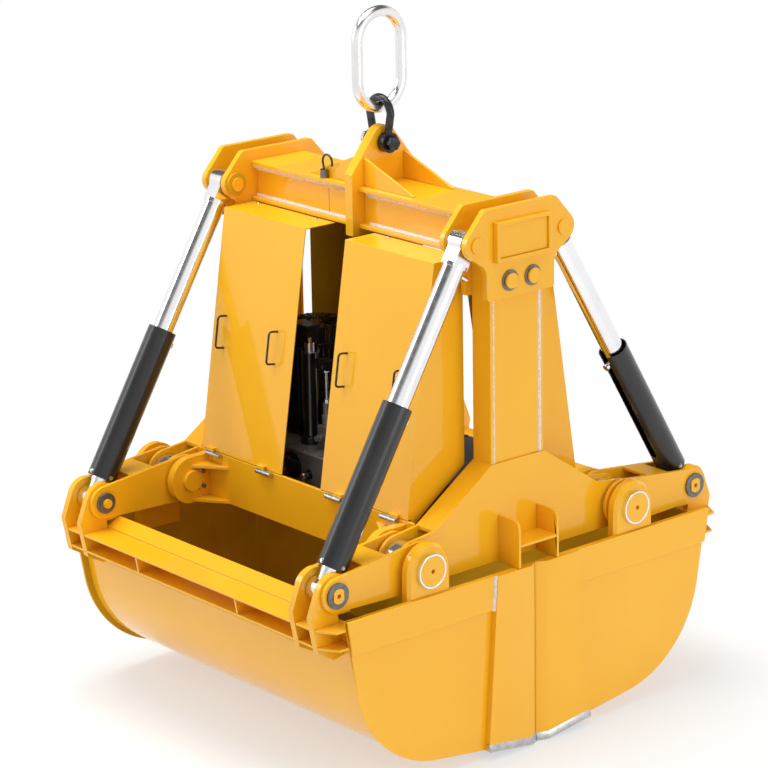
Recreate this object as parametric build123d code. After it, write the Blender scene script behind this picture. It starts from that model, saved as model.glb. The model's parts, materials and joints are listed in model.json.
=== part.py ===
"""Two-shell electro-hydraulic clamshell grab that hangs from a crane hook.

Sizes are millimetres. X is the opening direction, Y runs along the shell hinges, Z is up.
Pieces are drawn with Z = 0 on the shell hinge line and saved with the hook seat as origin.
"""
from build123d import *

import os
from math import atan2, cos, degrees, hypot, radians, sin, tan

# Main axes, drawn for the +X and +Y quarter
HINGE_X = 540.0
ROD_PIN_X, ROD_PIN_Z = 942.0, -16.0
HEAD_PIN_X, HEAD_PIN_Z = 222.0, 1185.0
CYLINDER_Y = 733.0

# Clearances: turning fits, fixed fits, side faces
RUN = 0.3
FIT = 0.2
SIDE = 1.0

# Suspension
LINK_ROD = 45.0
LINK_INSIDE_LENGTH = 335.0
LINK_INSIDE_WIDTH = 180.0
SHACKLE_HEIGHT = 157.0
SHACKLE_PIN_RISE = 162.0
SHACKLE_PIN_D = 38.0
SHACKLE_EYE_T, SHACKLE_EYE_WALL = 32.0, 22.0
JAW_CLEAR = 6.0
BOW_ROD = 32.0
BOW_INSIDE_WIDTH = 92.0
BOW_BITE = 12.0
BOLT_HEAD_LIP, BOLT_HEAD_T = 11.0, 26.0
BOLT_NUT_T, BOLT_OUT = 30.0, 5.0

# Lifting plate and top beam
LIFT_T = 45.0
LIFT_TOP_R = 66.0
LIFT_HALF = 170.0
LIFT_SHOULDER_RISE, LIFT_FOOT_DROP = 52.0, 30.0
BEAM_TOP_Z = 1268.0
BEAM_DEPTH = 165.0
FLANGE_HALF = 138.0
FLANGE_T = 17.0
WEB_SETBACK = 30.0
WEB_T = 12.0
GUSSET_T = 12.0
GUSSET_REACH = 315.0
GUSSET_RISE, GUSSET_TOE = 114.0, 6.0

# Upper end plates and columns
END_PLATE_T = 25.0
END_TOP_RISE = 46.0
END_TOP_HALF = 182.0
END_EAR_WALL = 29.0
END_FOOT_HALF = 173.0
END_FOOT_Z = 958.0
END_WAIST_Z = 1083.0
END_TOP_R, END_WAIST_R, END_FOOT_R = 25.0, 60.0, 15.0
COLUMN_DEPTH = 100.0
COLUMN_HALF = 138.0
COLUMN_FOOT_Z = 302.0
COLUMN_TOP_GAP = 3.0
COLUMN_FLANGE_T = 14.0
COLUMN_WEB_SETBACK = 4.0
HEAD_PIN_D = 56.0
HEAD_CAP_LIP, HEAD_CAP_T = 2.5, 8.0
HEAD_NUT_LIP, HEAD_NUT_T = 18.5, 12.0
HEAD_PIN_TAIL = 20.0
COLUMN_BOLT_X, COLUMN_BOLT_RISE = 58.0, 67.0
COLUMN_BOLT_D = 40.0
COLUMN_BOLT_LIP, COLUMN_BOLT_HEAD_T = 10.5, 12.0
COLUMN_WASHER_LIP, COLUMN_WASHER_T = 21.0, 6.0
PLATE_FRAME_W, PLATE_FRAME_H = 280.0, 154.0
PLATE_FRAME_BAR, PLATE_FRAME_T = 15.0, 24.0
PLATE_PANEL_T = 14.0
PLATE_DROP = 84.0

# Lower frame
GABLE_DEPTH = 110.0
GABLE_T = 14.0
GABLE_SHOULDER_SETBACK, GABLE_SHOULDER_Z = 108.0, 105.0
GABLE_NOSE_WALL = 17.0
GABLE_MOUTH_SETBACK = 150.0
GABLE_OPEN_Z = -30.0
GABLE_LEDGE_T, GABLE_LEDGE_Z = 12.0, 60.0
GABLE_LEDGE_BACK, GABLE_LEDGE_OUT = 60.0, 36.0
HINGE_TUBE_WALL = 16.0
HINGE_COLLAR_LIP = 8.0
HINGE_PIN_D = 118.0
HINGE_PIN_TAIL_D = 88.0
HINGE_PIN_OUT, HINGE_TAIL_OUT = 20.0, 6.0
PULLER_D, PULLER_DEPTH = 17.5, 40.0
SIDE_PLATE_SETBACK = 91.0
SIDE_PLATE_T = 14.0
SIDE_PLATE_TOP_Z = 112.0
BASE_T = 12.0
HINGE_LUG_WALL, HINGE_LUG_T = 54.0, 36.0
HINGE_LUG_GAP = 12.0
LUG_GUSSET_REACH, LUG_GUSSET_T = 136.0, 12.0
LUG_GUSSET_UPPER_Z, LUG_GUSSET_LIFT = 55.0, 1.0
KEEPER_W, KEEPER_HALF, KEEPER_T = 32.0, 46.0, 10.0
KEEPER_BITE = 10.0
KEEPER_BOLT_D, KEEPER_BOLT_T = 19.0, 8.0
KEEPER_BOLT_SPREAD, KEEPER_BOLT_SETBACK = 32.0, 17.0
BUMPER_X, BUMPER_T = 100.0, 12.0
BUMPER_OUT = 24.0
BUMPER_TOP_Z, BUMPER_SHELF_Z = 94.0, -16.0
BUMPER_CLEAR = 2.0
BUMPER_CORNER_R = 38.0
BUMPER_SHELF_SETBACK = 4.0

# Covers
COVER_GAP_HALF = 122.0
COVER_END_CLEAR = 4.0
COVER_FOOT_INSET, COVER_FOOT_CLEAR = 2.0, 3.0
COVER_SHOULDER_X = 293.0
COVER_TOP_CLEAR = 4.0
COVER_T = 4.0
COVER_BACK_CLEAR = 12.0
COVER_WALL_LAP, COVER_WALL_CLEAR = 26.0, 8.0
KNUCKLE_D, KNUCKLE_PIN_D = 22.0, 10.0
KNUCKLE_HALF = 46.0
KNUCKLE_CLEAR, KNUCKLE_BITE = 2.0, 2.0
KNUCKLE_EDGE, KNUCKLE_LUG_GAP = 98.0, 48.0
KNUCKLE_PIN_SETBACK = 6.0
LEAF_RISE, LEAF_BITE = 14.0, 3.0
HANDLE_ROD = 9.0
HANDLE_STANDOFF, HANDLE_BEND = 43.0, 14.0
HANDLE_FOOT_Z, HANDLE_LENGTH = 541.0, 131.0
HANDLE_FIRST, HANDLE_STEP = 79.0, 332.0

# Shells
MATE_X = 1.0
RIM_CLEAR = 7.0
BOWL_X, BOWL_Z, BOWL_R = 457.0, -327.0, 454.0
FLOOR_SLOPE, BACK_LEAN = 7.6, 9.65
SKIN_T, SKIN_DROP = 16.0, 25.0
SKIN_SETBACK = 28.0
SHELL_REACH = 147.0
SHELL_END_T = 12.0
BAND_T, BAND_H, BAND_GAP = 13.0, 140.0, 3.0
KNIFE_T = 26.0
KNIFE_TOP_X, KNIFE_FOOT_X = 216.0, 269.0
KNIFE_BEVEL = 44.0
EDGE_T, EDGE_SETBACK, EDGE_LEAN = 29.0, 7.0, 2.0
LUG_T, LUG_GAP = 28.0, 82.0
LUG_WALL = 49.0
LUG_NOSE = (113.0, -72.0)
LUG_TOE = (84.0, -214.0)
LUG_HEEL_OUT, LUG_HEEL_DROP = 23.0, 257.0
LUG_ROOT_IN, LUG_ROOT_DROP = 57.0, 240.0
ARM_T = 16.0
ARM_PIN_WALL, ARM_HINGE_WALL = 38.0, 38.0
ARM_CLEAR = 4.0
BRIDGE_FROM, BRIDGE_TO, BRIDGE_T = 150.0, 266.0, 12.0
BUSH_WALL, BUSH_OUT = 8.5, 19.0
TOMB_WALL, TOMB_T, TOMB_FLARE = 37.5, 40.0, 2.0
TOMB_LAP, TOMB_CHAMFER = 161.0, 12.0
ROD_PIN_D, ROD_PIN_TAIL_D = 60.0, 38.0
ROD_PIN_OUT, ROD_PIN_FLAT, ROD_TAIL_OUT = 3.0, 5.0, 12.0
ROD_WASHER_LIP, ROD_WASHER_T = 20.0, 10.0
ROD_NUT_LIP, ROD_NUT_T = 24.0, 12.0
RIM_FLANGE_T = 10.0
RIM_UPPER_DROP, RIM_UPPER_DEPTH, RIM_UPPER_END = 41.0, 93.0, 50.0
RIM_LOWER_DROP, RIM_LOWER_DEPTH, RIM_LOWER_END = 114.0, 94.0, 50.0
RIM_RIB_Y, RIM_RIB_T, RIM_RIB_SETBACK = 318.0, 10.0, 3.0
RIM_COVER_RUN, RIM_COVER_RISE = 49.0, 25.0
RIM_COVER_LAP = 2.0
RIM_COVER_EDGE = (11.0, 10.0)

# Cylinders, measured along the axis from the head pin
TUBE_D, TUBE_WALL = 88.0, 10.0
TUBE_END = 795.0
TUBE_NECK = 6.0
GLAND_T = 28.0
HEAD_EYE_WALL, ROD_EYE_WALL = 22.0, 20.0
EYE_SIDE, EYE_BITE = 6.0, 12.0
EYE_BOSS_WALL = 11.0
COLLAR_AT, COLLAR_LIP, COLLAR_T = 86.0, 6.0, 16.0
PORT_SETBACK, PORT_D, PORT_REACH = 90.0, 28.0, 72.0
HEAD_PORT_AT, HEAD_PORT_D, HEAD_PORT_REACH = 118.0, 22.0, 84.0
ROD_D = 45.0
ROD_INSIDE = 95.0
ROD_SHANK_D = 76.0
PISTON_T = 30.0
GUARD_GAP, GUARD_WALL = 10.0, 5.0
GUARD_LAP, GUARD_CLEAR = 135.0, 7.0
GUARD_CAP_T = 12.0
SLOT_W, SLOT_SETBACK = 36.0, 98.0

# Power pack
TANK_X, TANK_Y, TANK_H = 300.0, 560.0, 248.0
TANK_T = 6.0
TANK_LID_T, TANK_LID_OVER = 10.0, 14.0
MOTOR_X, MOTOR_Y = -40.0, 380.0
MOTOR_D, MOTOR_H = 250.0, 382.0
MOTOR_FOOT_D, MOTOR_FOOT_T = 300.0, 18.0
FAN_D, FAN_T = 236.0, 70.0
BOX_X = 60.0
BOX_W, BOX_D, BOX_H = 150.0, 150.0, 130.0
CABLE_BORE_D, CABLE_GLAND_WALL = 32.0, 8.0
CABLE_GLAND_REACH, CABLE_BORE_DEPTH = 36.0, 76.0
ACCUMULATOR_X, ACCUMULATOR_Y = -205.0, 225.0
ACCUMULATOR_D, ACCUMULATOR_H = 60.0, 382.0
ACCUMULATOR_FOOT_LIP, ACCUMULATOR_FOOT_T = 15.0, 30.0
ACCUMULATOR_NECK_D, ACCUMULATOR_NECK_T = 40.0, 40.0
ACCUMULATOR_VALVE_D, ACCUMULATOR_VALVE_T = 16.0, 20.0
VALVE_X, VALVE_Y = -80.0, -200.0
VALVE_W, VALVE_L, VALVE_H = 130.0, 260.0, 150.0
SOLENOID_D, SOLENOID_H, SOLENOID_STEP = 48.0, 90.0, 80.0

# Cable hook
CABLE_HOOK_SETBACK = 110.0
CABLE_BASE_D, CABLE_BASE_H = 32.0, 34.0
CABLE_ROD, CABLE_ROD_BITE = 9.0, 6.0
CABLE_NECK, CABLE_LEAN = 20.0, 4.0
CABLE_R = 24.0

# Heights that follow from the sizes above
SHACKLE_PIN_Z = BEAM_TOP_Z + SHACKLE_PIN_RISE
LINK_FOOT_Z = SHACKLE_PIN_Z + SHACKLE_HEIGHT
HOOK_SEAT_Z = LINK_FOOT_Z + LINK_INSIDE_LENGTH
BEAM_FOOT_Z = BEAM_TOP_Z - BEAM_DEPTH
END_TOP_Z = BEAM_TOP_Z + END_TOP_RISE
PLATE_FRAME_Z = BEAM_TOP_Z - PLATE_DROP
COLUMN_TOP_Z = BEAM_FOOT_Z - COLUMN_TOP_GAP
COLUMN_BOLT_Z = END_FOOT_Z + COLUMN_BOLT_RISE
HINGE_TUBE_D = HINGE_PIN_D + 2 * HINGE_TUBE_WALL
GABLE_NOSE_R = HINGE_TUBE_D / 2 + GABLE_NOSE_WALL
GABLE_FOOT_Z = -GABLE_NOSE_R
BASE_TOP_Z = GABLE_FOOT_Z + BASE_T
RIM_Z = GABLE_FOOT_Z - RIM_CLEAR
SKIN_TOP_Z = RIM_Z - SKIN_DROP
BAND_FOOT_Z = RIM_Z - BAND_H
TOMB_FOOT_Z = RIM_Z - TOMB_LAP
BUMPER_FOOT_Z = RIM_Z + BUMPER_CLEAR
LUG_GUSSET_Z = (LUG_GUSSET_UPPER_Z, GABLE_FOOT_Z + LUG_GUSSET_LIFT)
TANK_TOP_Z = BASE_TOP_Z + TANK_H
TANK_LID_Z = TANK_TOP_Z + TANK_LID_T
MOTOR_TOP_Z = TANK_LID_Z + MOTOR_H
ACCUMULATOR_TOP_Z = TANK_LID_Z + ACCUMULATOR_H
HANDLE_Z = (HANDLE_FOOT_Z, HANDLE_FOOT_Z + HANDLE_LENGTH)

# Places along X
BEAM_WEB_X = FLANGE_HALF - WEB_SETBACK
GABLE_SHOULDER_X = HINGE_X - GABLE_SHOULDER_SETBACK
SIDE_PLATE_X = HINGE_X - SIDE_PLATE_SETBACK
SIDE_PLATE_INNER = SIDE_PLATE_X - SIDE_PLATE_T
KEEPER_X = HINGE_X - HINGE_PIN_TAIL_D / 2 + KEEPER_BITE
COVER_FOOT = (SIDE_PLATE_X - COVER_FOOT_INSET, SIDE_PLATE_TOP_Z + COVER_FOOT_CLEAR)
COVER_SHOULDER = (COVER_SHOULDER_X, BEAM_FOOT_Z - SIDE)
COVER_TOP_X = FLANGE_HALF + COVER_TOP_CLEAR
COVER_BACK = (COLUMN_HALF + COVER_BACK_CLEAR, COLUMN_FOOT_Z - COVER_WALL_LAP)
COVER_WALL_FOOT = (SIDE_PLATE_INNER - COVER_WALL_CLEAR, GABLE_SHOULDER_Z - COVER_WALL_LAP)
COVER_UP = atan2(COVER_FOOT[0] - COVER_SHOULDER[0], COVER_SHOULDER[1] - COVER_FOOT[1])
KNUCKLE_X = SIDE_PLATE_X + KNUCKLE_D / 2 + KNUCKLE_CLEAR
KNUCKLE_Z = COVER_FOOT[1] + KNUCKLE_BITE - KNUCKLE_D / 2
EDGE_X = KNIFE_FOOT_X - EDGE_SETBACK
BRIDGE_X = (HINGE_X + BRIDGE_FROM, HINGE_X + BRIDGE_TO)

# Places along Y
LUG_INNER = (CYLINDER_Y - LUG_GAP / 2 - LUG_T, CYLINDER_Y - LUG_GAP / 2)
LUG_OUTER = (CYLINDER_Y + LUG_GAP / 2, CYLINDER_Y + LUG_GAP / 2 + LUG_T)
ARM_INNER = (LUG_INNER[0] - ARM_T, LUG_INNER[0])
ARM_OUTER = (LUG_OUTER[1], LUG_OUTER[1] + ARM_T)
COLUMN_Y = (CYLINDER_Y - COLUMN_DEPTH / 2, CYLINDER_Y + COLUMN_DEPTH / 2)
PLATE_INNER = (COLUMN_Y[0] - END_PLATE_T, COLUMN_Y[0])
PLATE_OUTER = (COLUMN_Y[1], COLUMN_Y[1] + END_PLATE_T)
GABLE_Y = (CYLINDER_Y - GABLE_DEPTH / 2, CYLINDER_Y + GABLE_DEPTH / 2)
SHELL_FACE_Y = CYLINDER_Y + SHELL_REACH
SHELL_INNER_Y = SHELL_FACE_Y - SHELL_END_T
KNIFE_FACE_Y = SHELL_FACE_Y + KNIFE_T
TOMB_Y = (SHELL_FACE_Y - TOMB_T, SHELL_FACE_Y)
HINGE_PIN_FACE_Y = SHELL_FACE_Y + HINGE_PIN_OUT
HINGE_LUG_Y = (ARM_INNER[0] - HINGE_LUG_GAP - HINGE_LUG_T, ARM_INNER[0] - HINGE_LUG_GAP)
KEEPER_Y = HINGE_LUG_Y[0] - KEEPER_T
BUMPER_END_Y = SHELL_FACE_Y + BUMPER_OUT
CABLE_HOOK_Y = GUSSET_REACH - CABLE_HOOK_SETBACK
COVER_Y = (COVER_GAP_HALF, ARM_INNER[0] - COVER_END_CLEAR)
KNUCKLE_Y = (COVER_Y[0] + KNUCKLE_EDGE, HINGE_LUG_Y[0] - KNUCKLE_LUG_GAP)

# Diameters that follow from their pins and tubes
SHACKLE_JAW = LIFT_T + 2 * JAW_CLEAR
SHACKLE_EYE_D = SHACKLE_PIN_D + 2 * SHACKLE_EYE_WALL
END_EAR_R = HEAD_PIN_D / 2 + END_EAR_WALL
HEAD_EYE_R = HEAD_PIN_D / 2 + HEAD_EYE_WALL
ROD_EYE_R = ROD_PIN_D / 2 + ROD_EYE_WALL
LUG_R = ROD_PIN_D / 2 + LUG_WALL
ARM_PIN_R = ROD_PIN_D / 2 + ARM_PIN_WALL
ARM_HINGE_R = HINGE_PIN_D / 2 + ARM_HINGE_WALL
HINGE_LUG_R = HINGE_PIN_TAIL_D / 2 + HINGE_LUG_WALL
BUSH_D = HINGE_PIN_D + 2 * BUSH_WALL
TOMB_R = BUSH_D / 2 + TOMB_WALL
TOMB_HALF = TOMB_R + TOMB_FLARE
TUBE_BORE_D = TUBE_D - 2 * TUBE_WALL
GUARD_BORE_D = TUBE_D + 2 * GUARD_GAP
GUARD_D = GUARD_BORE_D + 2 * GUARD_WALL

# Lengths along a cylinder
REACH = hypot(ROD_PIN_X - HEAD_PIN_X, ROD_PIN_Z - HEAD_PIN_Z)
LEAN = degrees(atan2(ROD_PIN_X - HEAD_PIN_X, HEAD_PIN_Z - ROD_PIN_Z))
EYE_W = LUG_GAP - 2 * EYE_SIDE
PORT_AT = TUBE_END - PORT_SETBACK
ROD_TOP = TUBE_END - ROD_INSIDE
GUARD_TOP = TUBE_END - GUARD_LAP
GUARD_FOOT = REACH - LUG_R - GUARD_CLEAR
SLOT_END = GUARD_FOOT - SLOT_SETBACK


# Drawing helpers
def plate_xz(outline, y_from, y_to):
    """Plate that stands in an XZ plane."""
    plane = Plane(origin=(0, y_to, 0), x_dir=(1, 0, 0), z_dir=(0, -1, 0))
    return extrude(plane * outline, amount=y_to - y_from, dir=(0, -1, 0))


def plate_yz(outline, x_from, x_to):
    """Plate that stands in a YZ plane."""
    plane = Plane(origin=(x_from, 0, 0), x_dir=(0, 1, 0), z_dir=(1, 0, 0))
    return extrude(plane * outline, amount=x_to - x_from, dir=(1, 0, 0))


def plate_xy(outline, z_from, z_to):
    """Plate that lies flat."""
    return extrude(Plane.XY.offset(z_from) * outline, amount=z_to - z_from, dir=(0, 0, 1))


def outline(*points):
    return Polygon(*points, align=None)


def disc(x, z, diameter):
    return Pos(x, z) * Circle(diameter / 2)


def block(x_from, x_to, y_from, y_to, z_from, z_to):
    centre = Pos((x_from + x_to) / 2, (y_from + y_to) / 2, (z_from + z_to) / 2)
    return centre * Box(x_to - x_from, y_to - y_from, z_to - z_from)


def bar_x(y, z, diameter, x_from, x_to):
    """Round bar along X."""
    return Pos((x_from + x_to) / 2, y, z) * Rot(0, 90, 0) * Cylinder(diameter / 2, x_to - x_from)


def bar_y(x, z, diameter, y_from, y_to):
    """Round bar along Y."""
    return Pos(x, (y_from + y_to) / 2, z) * Rot(90, 0, 0) * Cylinder(diameter / 2, y_to - y_from)


def bar_z(x, y, diameter, z_from, z_to):
    """Upright round bar."""
    return Pos(x, y, (z_from + z_to) / 2) * Cylinder(diameter / 2, z_to - z_from)


def ring_y(x, z, outer, inner, y_from, y_to):
    return bar_y(x, z, outer, y_from, y_to) - bar_y(x, z, inner, y_from, y_to)


def other_end(shape):
    return mirror(shape, about=Plane.XZ)


def other_side(shape):
    return mirror(shape, about=Plane.YZ)


def at_both_ends(*shapes):
    return [*shapes, *[other_end(shape) for shape in shapes]]


def at_both_sides(*shapes):
    return [*shapes, *[other_side(shape) for shape in shapes]]


def at_four_corners(*shapes):
    return at_both_sides(*at_both_ends(*shapes))


def save(name, *shapes):
    """Write one node with its origin on the hook seat."""
    solids = [solid for shape in shapes for solid in shape.solids()]
    node = solids[0] if len(solids) == 1 else Compound(solids)
    node = node.moved(Location((0, 0, -HOOK_SEAT_Z)))
    node.label = name
    export_step(node, f"parts/{name}.step")


# Suspension
def master_link():
    half = (LINK_INSIDE_WIDTH + LINK_ROD) / 2
    top = HOOK_SEAT_Z + LINK_ROD / 2 - half
    foot = LINK_FOOT_Z - LINK_ROD / 2 + half
    plane = Plane(origin=(0, 0, 0), x_dir=(1, 0, 0), z_dir=(0, -1, 0))
    path = plane * Wire([
        Line((half, foot), (half, top)),
        ThreePointArc((half, top), (0, top + half), (-half, top)),
        Line((-half, top), (-half, foot)),
        ThreePointArc((-half, foot), (0, foot - half), (half, foot)),
    ])
    section = Plane(origin=(half, 0, foot), z_dir=(0, 0, 1)) * Circle(LINK_ROD / 2)
    return sweep(section, path)


def shackle_bow():
    half = (BOW_INSIDE_WIDTH + BOW_ROD) / 2
    crown = LINK_FOOT_Z + RUN + BOW_ROD / 2 - half
    jaw = SHACKLE_JAW / 2
    out = jaw + SHACKLE_EYE_T
    eye_y = (jaw + out) / 2
    start_z = SHACKLE_PIN_Z + SHACKLE_EYE_D / 2 - BOW_BITE
    plane = Plane(origin=(0, 0, 0), x_dir=(0, 1, 0), z_dir=(1, 0, 0))
    path = plane * Wire([
        Line((-eye_y, start_z), (-half, crown)),
        ThreePointArc((-half, crown), (0, crown + half), (half, crown)),
        Line((half, crown), (eye_y, start_z)),
    ])
    section = Plane(origin=path @ 0, z_dir=path % 0) * Circle(BOW_ROD / 2)
    bow = sweep(section, path, transition=Transition.ROUND)
    bow += bar_y(0, SHACKLE_PIN_Z, SHACKLE_EYE_D, jaw, out)
    bow += bar_y(0, SHACKLE_PIN_Z, SHACKLE_EYE_D, -out, -jaw)
    bow -= bar_y(0, SHACKLE_PIN_Z, 2 * LIFT_TOP_R, -jaw, jaw)
    return bow - bar_y(0, SHACKLE_PIN_Z, SHACKLE_PIN_D + 2 * FIT, -out, out)


def shackle_bolt():
    """Bolt with its head on the -Y side, and the nut on the other."""
    out = SHACKLE_JAW / 2 + SHACKLE_EYE_T
    end = out + BOLT_NUT_T
    head_plane = Plane(origin=(0, -out, SHACKLE_PIN_Z), x_dir=(1, 0, 0), z_dir=(0, -1, 0))
    nut_plane = Plane(origin=(0, out, SHACKLE_PIN_Z), x_dir=(1, 0, 0), z_dir=(0, 1, 0))
    hexagon = RegularPolygon(SHACKLE_PIN_D / 2 + BOLT_HEAD_LIP, 6)
    head = extrude(head_plane * hexagon, amount=BOLT_HEAD_T)
    nut = extrude(nut_plane * hexagon, amount=BOLT_NUT_T)
    shank = bar_y(0, SHACKLE_PIN_Z, SHACKLE_PIN_D, -out, end + BOLT_OUT)
    return [head + shank, nut - bar_y(0, SHACKLE_PIN_Z, SHACKLE_PIN_D, out, end)]


# Lifting plate and top beam
def lifting_plate():
    foot, shoulder = BEAM_FOOT_Z - LIFT_FOOT_DROP, BEAM_TOP_Z + LIFT_SHOULDER_RISE
    body = outline((-LIFT_HALF, foot), (LIFT_HALF, foot), (LIFT_HALF, shoulder), (-LIFT_HALF, shoulder))
    shape = make_hull((disc(0, SHACKLE_PIN_Z, 2 * LIFT_TOP_R) + body).edges())
    shape -= disc(0, SHACKLE_PIN_Z, SHACKLE_PIN_D + 2 * RUN)
    return plate_xz(shape, -LIFT_T / 2, LIFT_T / 2)


def lifting_gusset():
    start = LIFT_T / 2
    side = outline((start, BEAM_TOP_Z), (GUSSET_REACH, BEAM_TOP_Z), (GUSSET_REACH, BEAM_TOP_Z + GUSSET_TOE),
                   (start, BEAM_TOP_Z + GUSSET_RISE))
    return plate_yz(side, BEAM_WEB_X - GUSSET_T, BEAM_WEB_X)


def top_beam():
    """One half of the box beam, from the lifting plate to the inner end plate."""
    start, end = LIFT_T / 2, PLATE_INNER[0]
    web_foot, web_top = BEAM_FOOT_Z + FLANGE_T, BEAM_TOP_Z - FLANGE_T
    beam = block(-FLANGE_HALF, FLANGE_HALF, start, end, web_top, BEAM_TOP_Z)
    beam += block(-FLANGE_HALF, FLANGE_HALF, start, end, BEAM_FOOT_Z, web_foot)
    web = block(BEAM_WEB_X - WEB_T, BEAM_WEB_X, start, end, web_foot, web_top)
    return beam + web + other_side(web)


def cable_hook():
    """Round base with a bent rod that keeps the supply cable off the beam."""
    x = -(BEAM_WEB_X + CABLE_BASE_D / 2)
    base_top = BEAM_TOP_Z + CABLE_BASE_H
    neck = base_top + CABLE_NECK
    plane = Plane(origin=(x, CABLE_HOOK_Y, 0), x_dir=(0, -1, 0), z_dir=(-1, 0, 0))
    path = plane * Wire([
        Line((0, base_top - CABLE_ROD_BITE), (-CABLE_LEAN, neck)),
        ThreePointArc((-CABLE_LEAN, neck), (CABLE_R, neck + 1.75 * CABLE_R), (2 * CABLE_R, neck)),
    ])
    section = Plane(origin=path @ 0, z_dir=path % 0) * Circle(CABLE_ROD / 2)
    base = bar_z(x, CABLE_HOOK_Y, CABLE_BASE_D, BEAM_TOP_Z, base_top)
    return base + sweep(section, path, transition=Transition.ROUND)


# Upper end plates and columns
def end_plate(y_range):
    def ear(angle):
        turn = radians(angle)
        return HEAD_PIN_X + END_EAR_R * cos(turn), HEAD_PIN_Z + END_EAR_R * sin(turn)

    right = [(END_TOP_HALF, END_TOP_Z), ear(35), ear(-60), (END_FOOT_HALF, END_WAIST_Z),
             (END_FOOT_HALF, END_FOOT_Z)]
    left = [(-x, z) for x, z in reversed(right)]
    face = outline(*right, *left)
    face = fillet(face.vertices().group_by(Axis.Y)[-1], END_TOP_R)
    face = fillet(face.vertices().group_by(Axis.Y)[1], END_WAIST_R)
    face = fillet(face.vertices().group_by(Axis.Y)[0], END_FOOT_R)
    plate = plate_xz(face, *y_range)
    for side in (-1, 1):
        plate += bar_y(side * HEAD_PIN_X, HEAD_PIN_Z, 2 * END_EAR_R, *y_range)
    for side in (-1, 1):
        plate -= bar_y(side * HEAD_PIN_X, HEAD_PIN_Z, HEAD_PIN_D + 2 * FIT, *y_range)
        plate -= bar_y(side * COLUMN_BOLT_X, COLUMN_BOLT_Z, COLUMN_BOLT_D + 2 * FIT, *y_range)
    return plate


def nameplate_frame():
    face = PLATE_OUTER[1]
    frame = Rectangle(PLATE_FRAME_W, PLATE_FRAME_H)
    frame -= Rectangle(PLATE_FRAME_W - 2 * PLATE_FRAME_BAR, PLATE_FRAME_H - 2 * PLATE_FRAME_BAR)
    return plate_xz(Pos(0, PLATE_FRAME_Z) * frame, face, face + PLATE_FRAME_T)


def nameplate_panel():
    face = PLATE_OUTER[1]
    edge = PLATE_FRAME_BAR + SIDE
    panel = Rectangle(PLATE_FRAME_W - 2 * edge, PLATE_FRAME_H - 2 * edge)
    return plate_xz(Pos(0, PLATE_FRAME_Z) * panel, face, face + PLATE_PANEL_T)


def column():
    y_in, y_out = COLUMN_Y
    inside = COLUMN_HALF - COLUMN_FLANGE_T
    flange = block(inside, COLUMN_HALF, y_in, y_out, COLUMN_FOOT_Z, COLUMN_TOP_Z)
    body = flange + other_side(flange)
    for web in (y_in + COLUMN_WEB_SETBACK, y_out - COLUMN_WEB_SETBACK - WEB_T):
        body += block(-inside, inside, web, web + WEB_T, COLUMN_FOOT_Z, COLUMN_TOP_Z)
    hole = bar_y(COLUMN_BOLT_X, COLUMN_BOLT_Z, COLUMN_BOLT_D + 2 * FIT, y_in, y_out)
    return body - hole - other_side(hole)


def column_bolt():
    x, z = COLUMN_BOLT_X, COLUMN_BOLT_Z
    face, back = PLATE_OUTER[1], PLATE_INNER[0]
    seat = face + COLUMN_WASHER_T
    head_d = COLUMN_BOLT_D + 2 * COLUMN_BOLT_LIP
    tail = back - COLUMN_BOLT_HEAD_T
    washer = ring_y(x, z, COLUMN_BOLT_D + 2 * COLUMN_WASHER_LIP, COLUMN_BOLT_D + 2 * FIT, face, seat)
    bolt = bar_y(x, z, COLUMN_BOLT_D, tail, seat) + bar_y(x, z, head_d, seat, seat + COLUMN_BOLT_HEAD_T)
    nut = ring_y(x, z, head_d, COLUMN_BOLT_D, tail, back)
    return [washer, bolt, nut]


def head_pin():
    x, z = HEAD_PIN_X, HEAD_PIN_Z
    face, back = PLATE_OUTER[1], PLATE_INNER[0]
    pin = bar_y(x, z, HEAD_PIN_D, back - HEAD_PIN_TAIL, face)
    pin += bar_y(x, z, HEAD_PIN_D + 2 * HEAD_CAP_LIP, face, face + HEAD_CAP_T)
    nut = ring_y(x, z, HEAD_PIN_D + 2 * HEAD_NUT_LIP, HEAD_PIN_D, back - HEAD_NUT_T, back)
    return [pin, nut]


# Lower frame
def gable_face():
    """Gable outline with a round nose on each hinge line."""
    edges = [
        Line((-COLUMN_HALF, COLUMN_FOOT_Z), (COLUMN_HALF, COLUMN_FOOT_Z)),
        Line((-HINGE_X, -GABLE_NOSE_R), (HINGE_X, -GABLE_NOSE_R)),
    ]
    for side in (-1, 1):
        shoulder = (side * GABLE_SHOULDER_X, GABLE_SHOULDER_Z)
        nose_top, nose_foot = (side * HINGE_X, GABLE_NOSE_R), (side * HINGE_X, -GABLE_NOSE_R)
        edges.append(Line((side * COLUMN_HALF, COLUMN_FOOT_Z), shoulder))
        edges.append(Line(shoulder, nose_top))
        edges.append(ThreePointArc(nose_top, (side * (HINGE_X + GABLE_NOSE_R), 0), nose_foot))
    return make_face(edges)


def gable_ledge():
    """Angle that closes the box under the lower end of its slope."""
    y_in, y_out = GABLE_Y[0] + GABLE_T, GABLE_Y[1] - GABLE_T
    back = GABLE_SHOULDER_X - GABLE_LEDGE_BACK
    rise = (COLUMN_FOOT_Z - GABLE_SHOULDER_Z) / (GABLE_SHOULDER_X - COLUMN_HALF)
    top = GABLE_SHOULDER_Z + rise * (GABLE_LEDGE_BACK - GABLE_LEDGE_T) - GABLE_T / 3
    floor = block(back, GABLE_SHOULDER_X + GABLE_LEDGE_OUT, y_in, y_out, GABLE_LEDGE_Z - GABLE_LEDGE_T, GABLE_LEDGE_Z)
    return floor + block(back, back + GABLE_LEDGE_T, y_in, y_out, GABLE_LEDGE_Z - GABLE_LEDGE_T, top)


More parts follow.
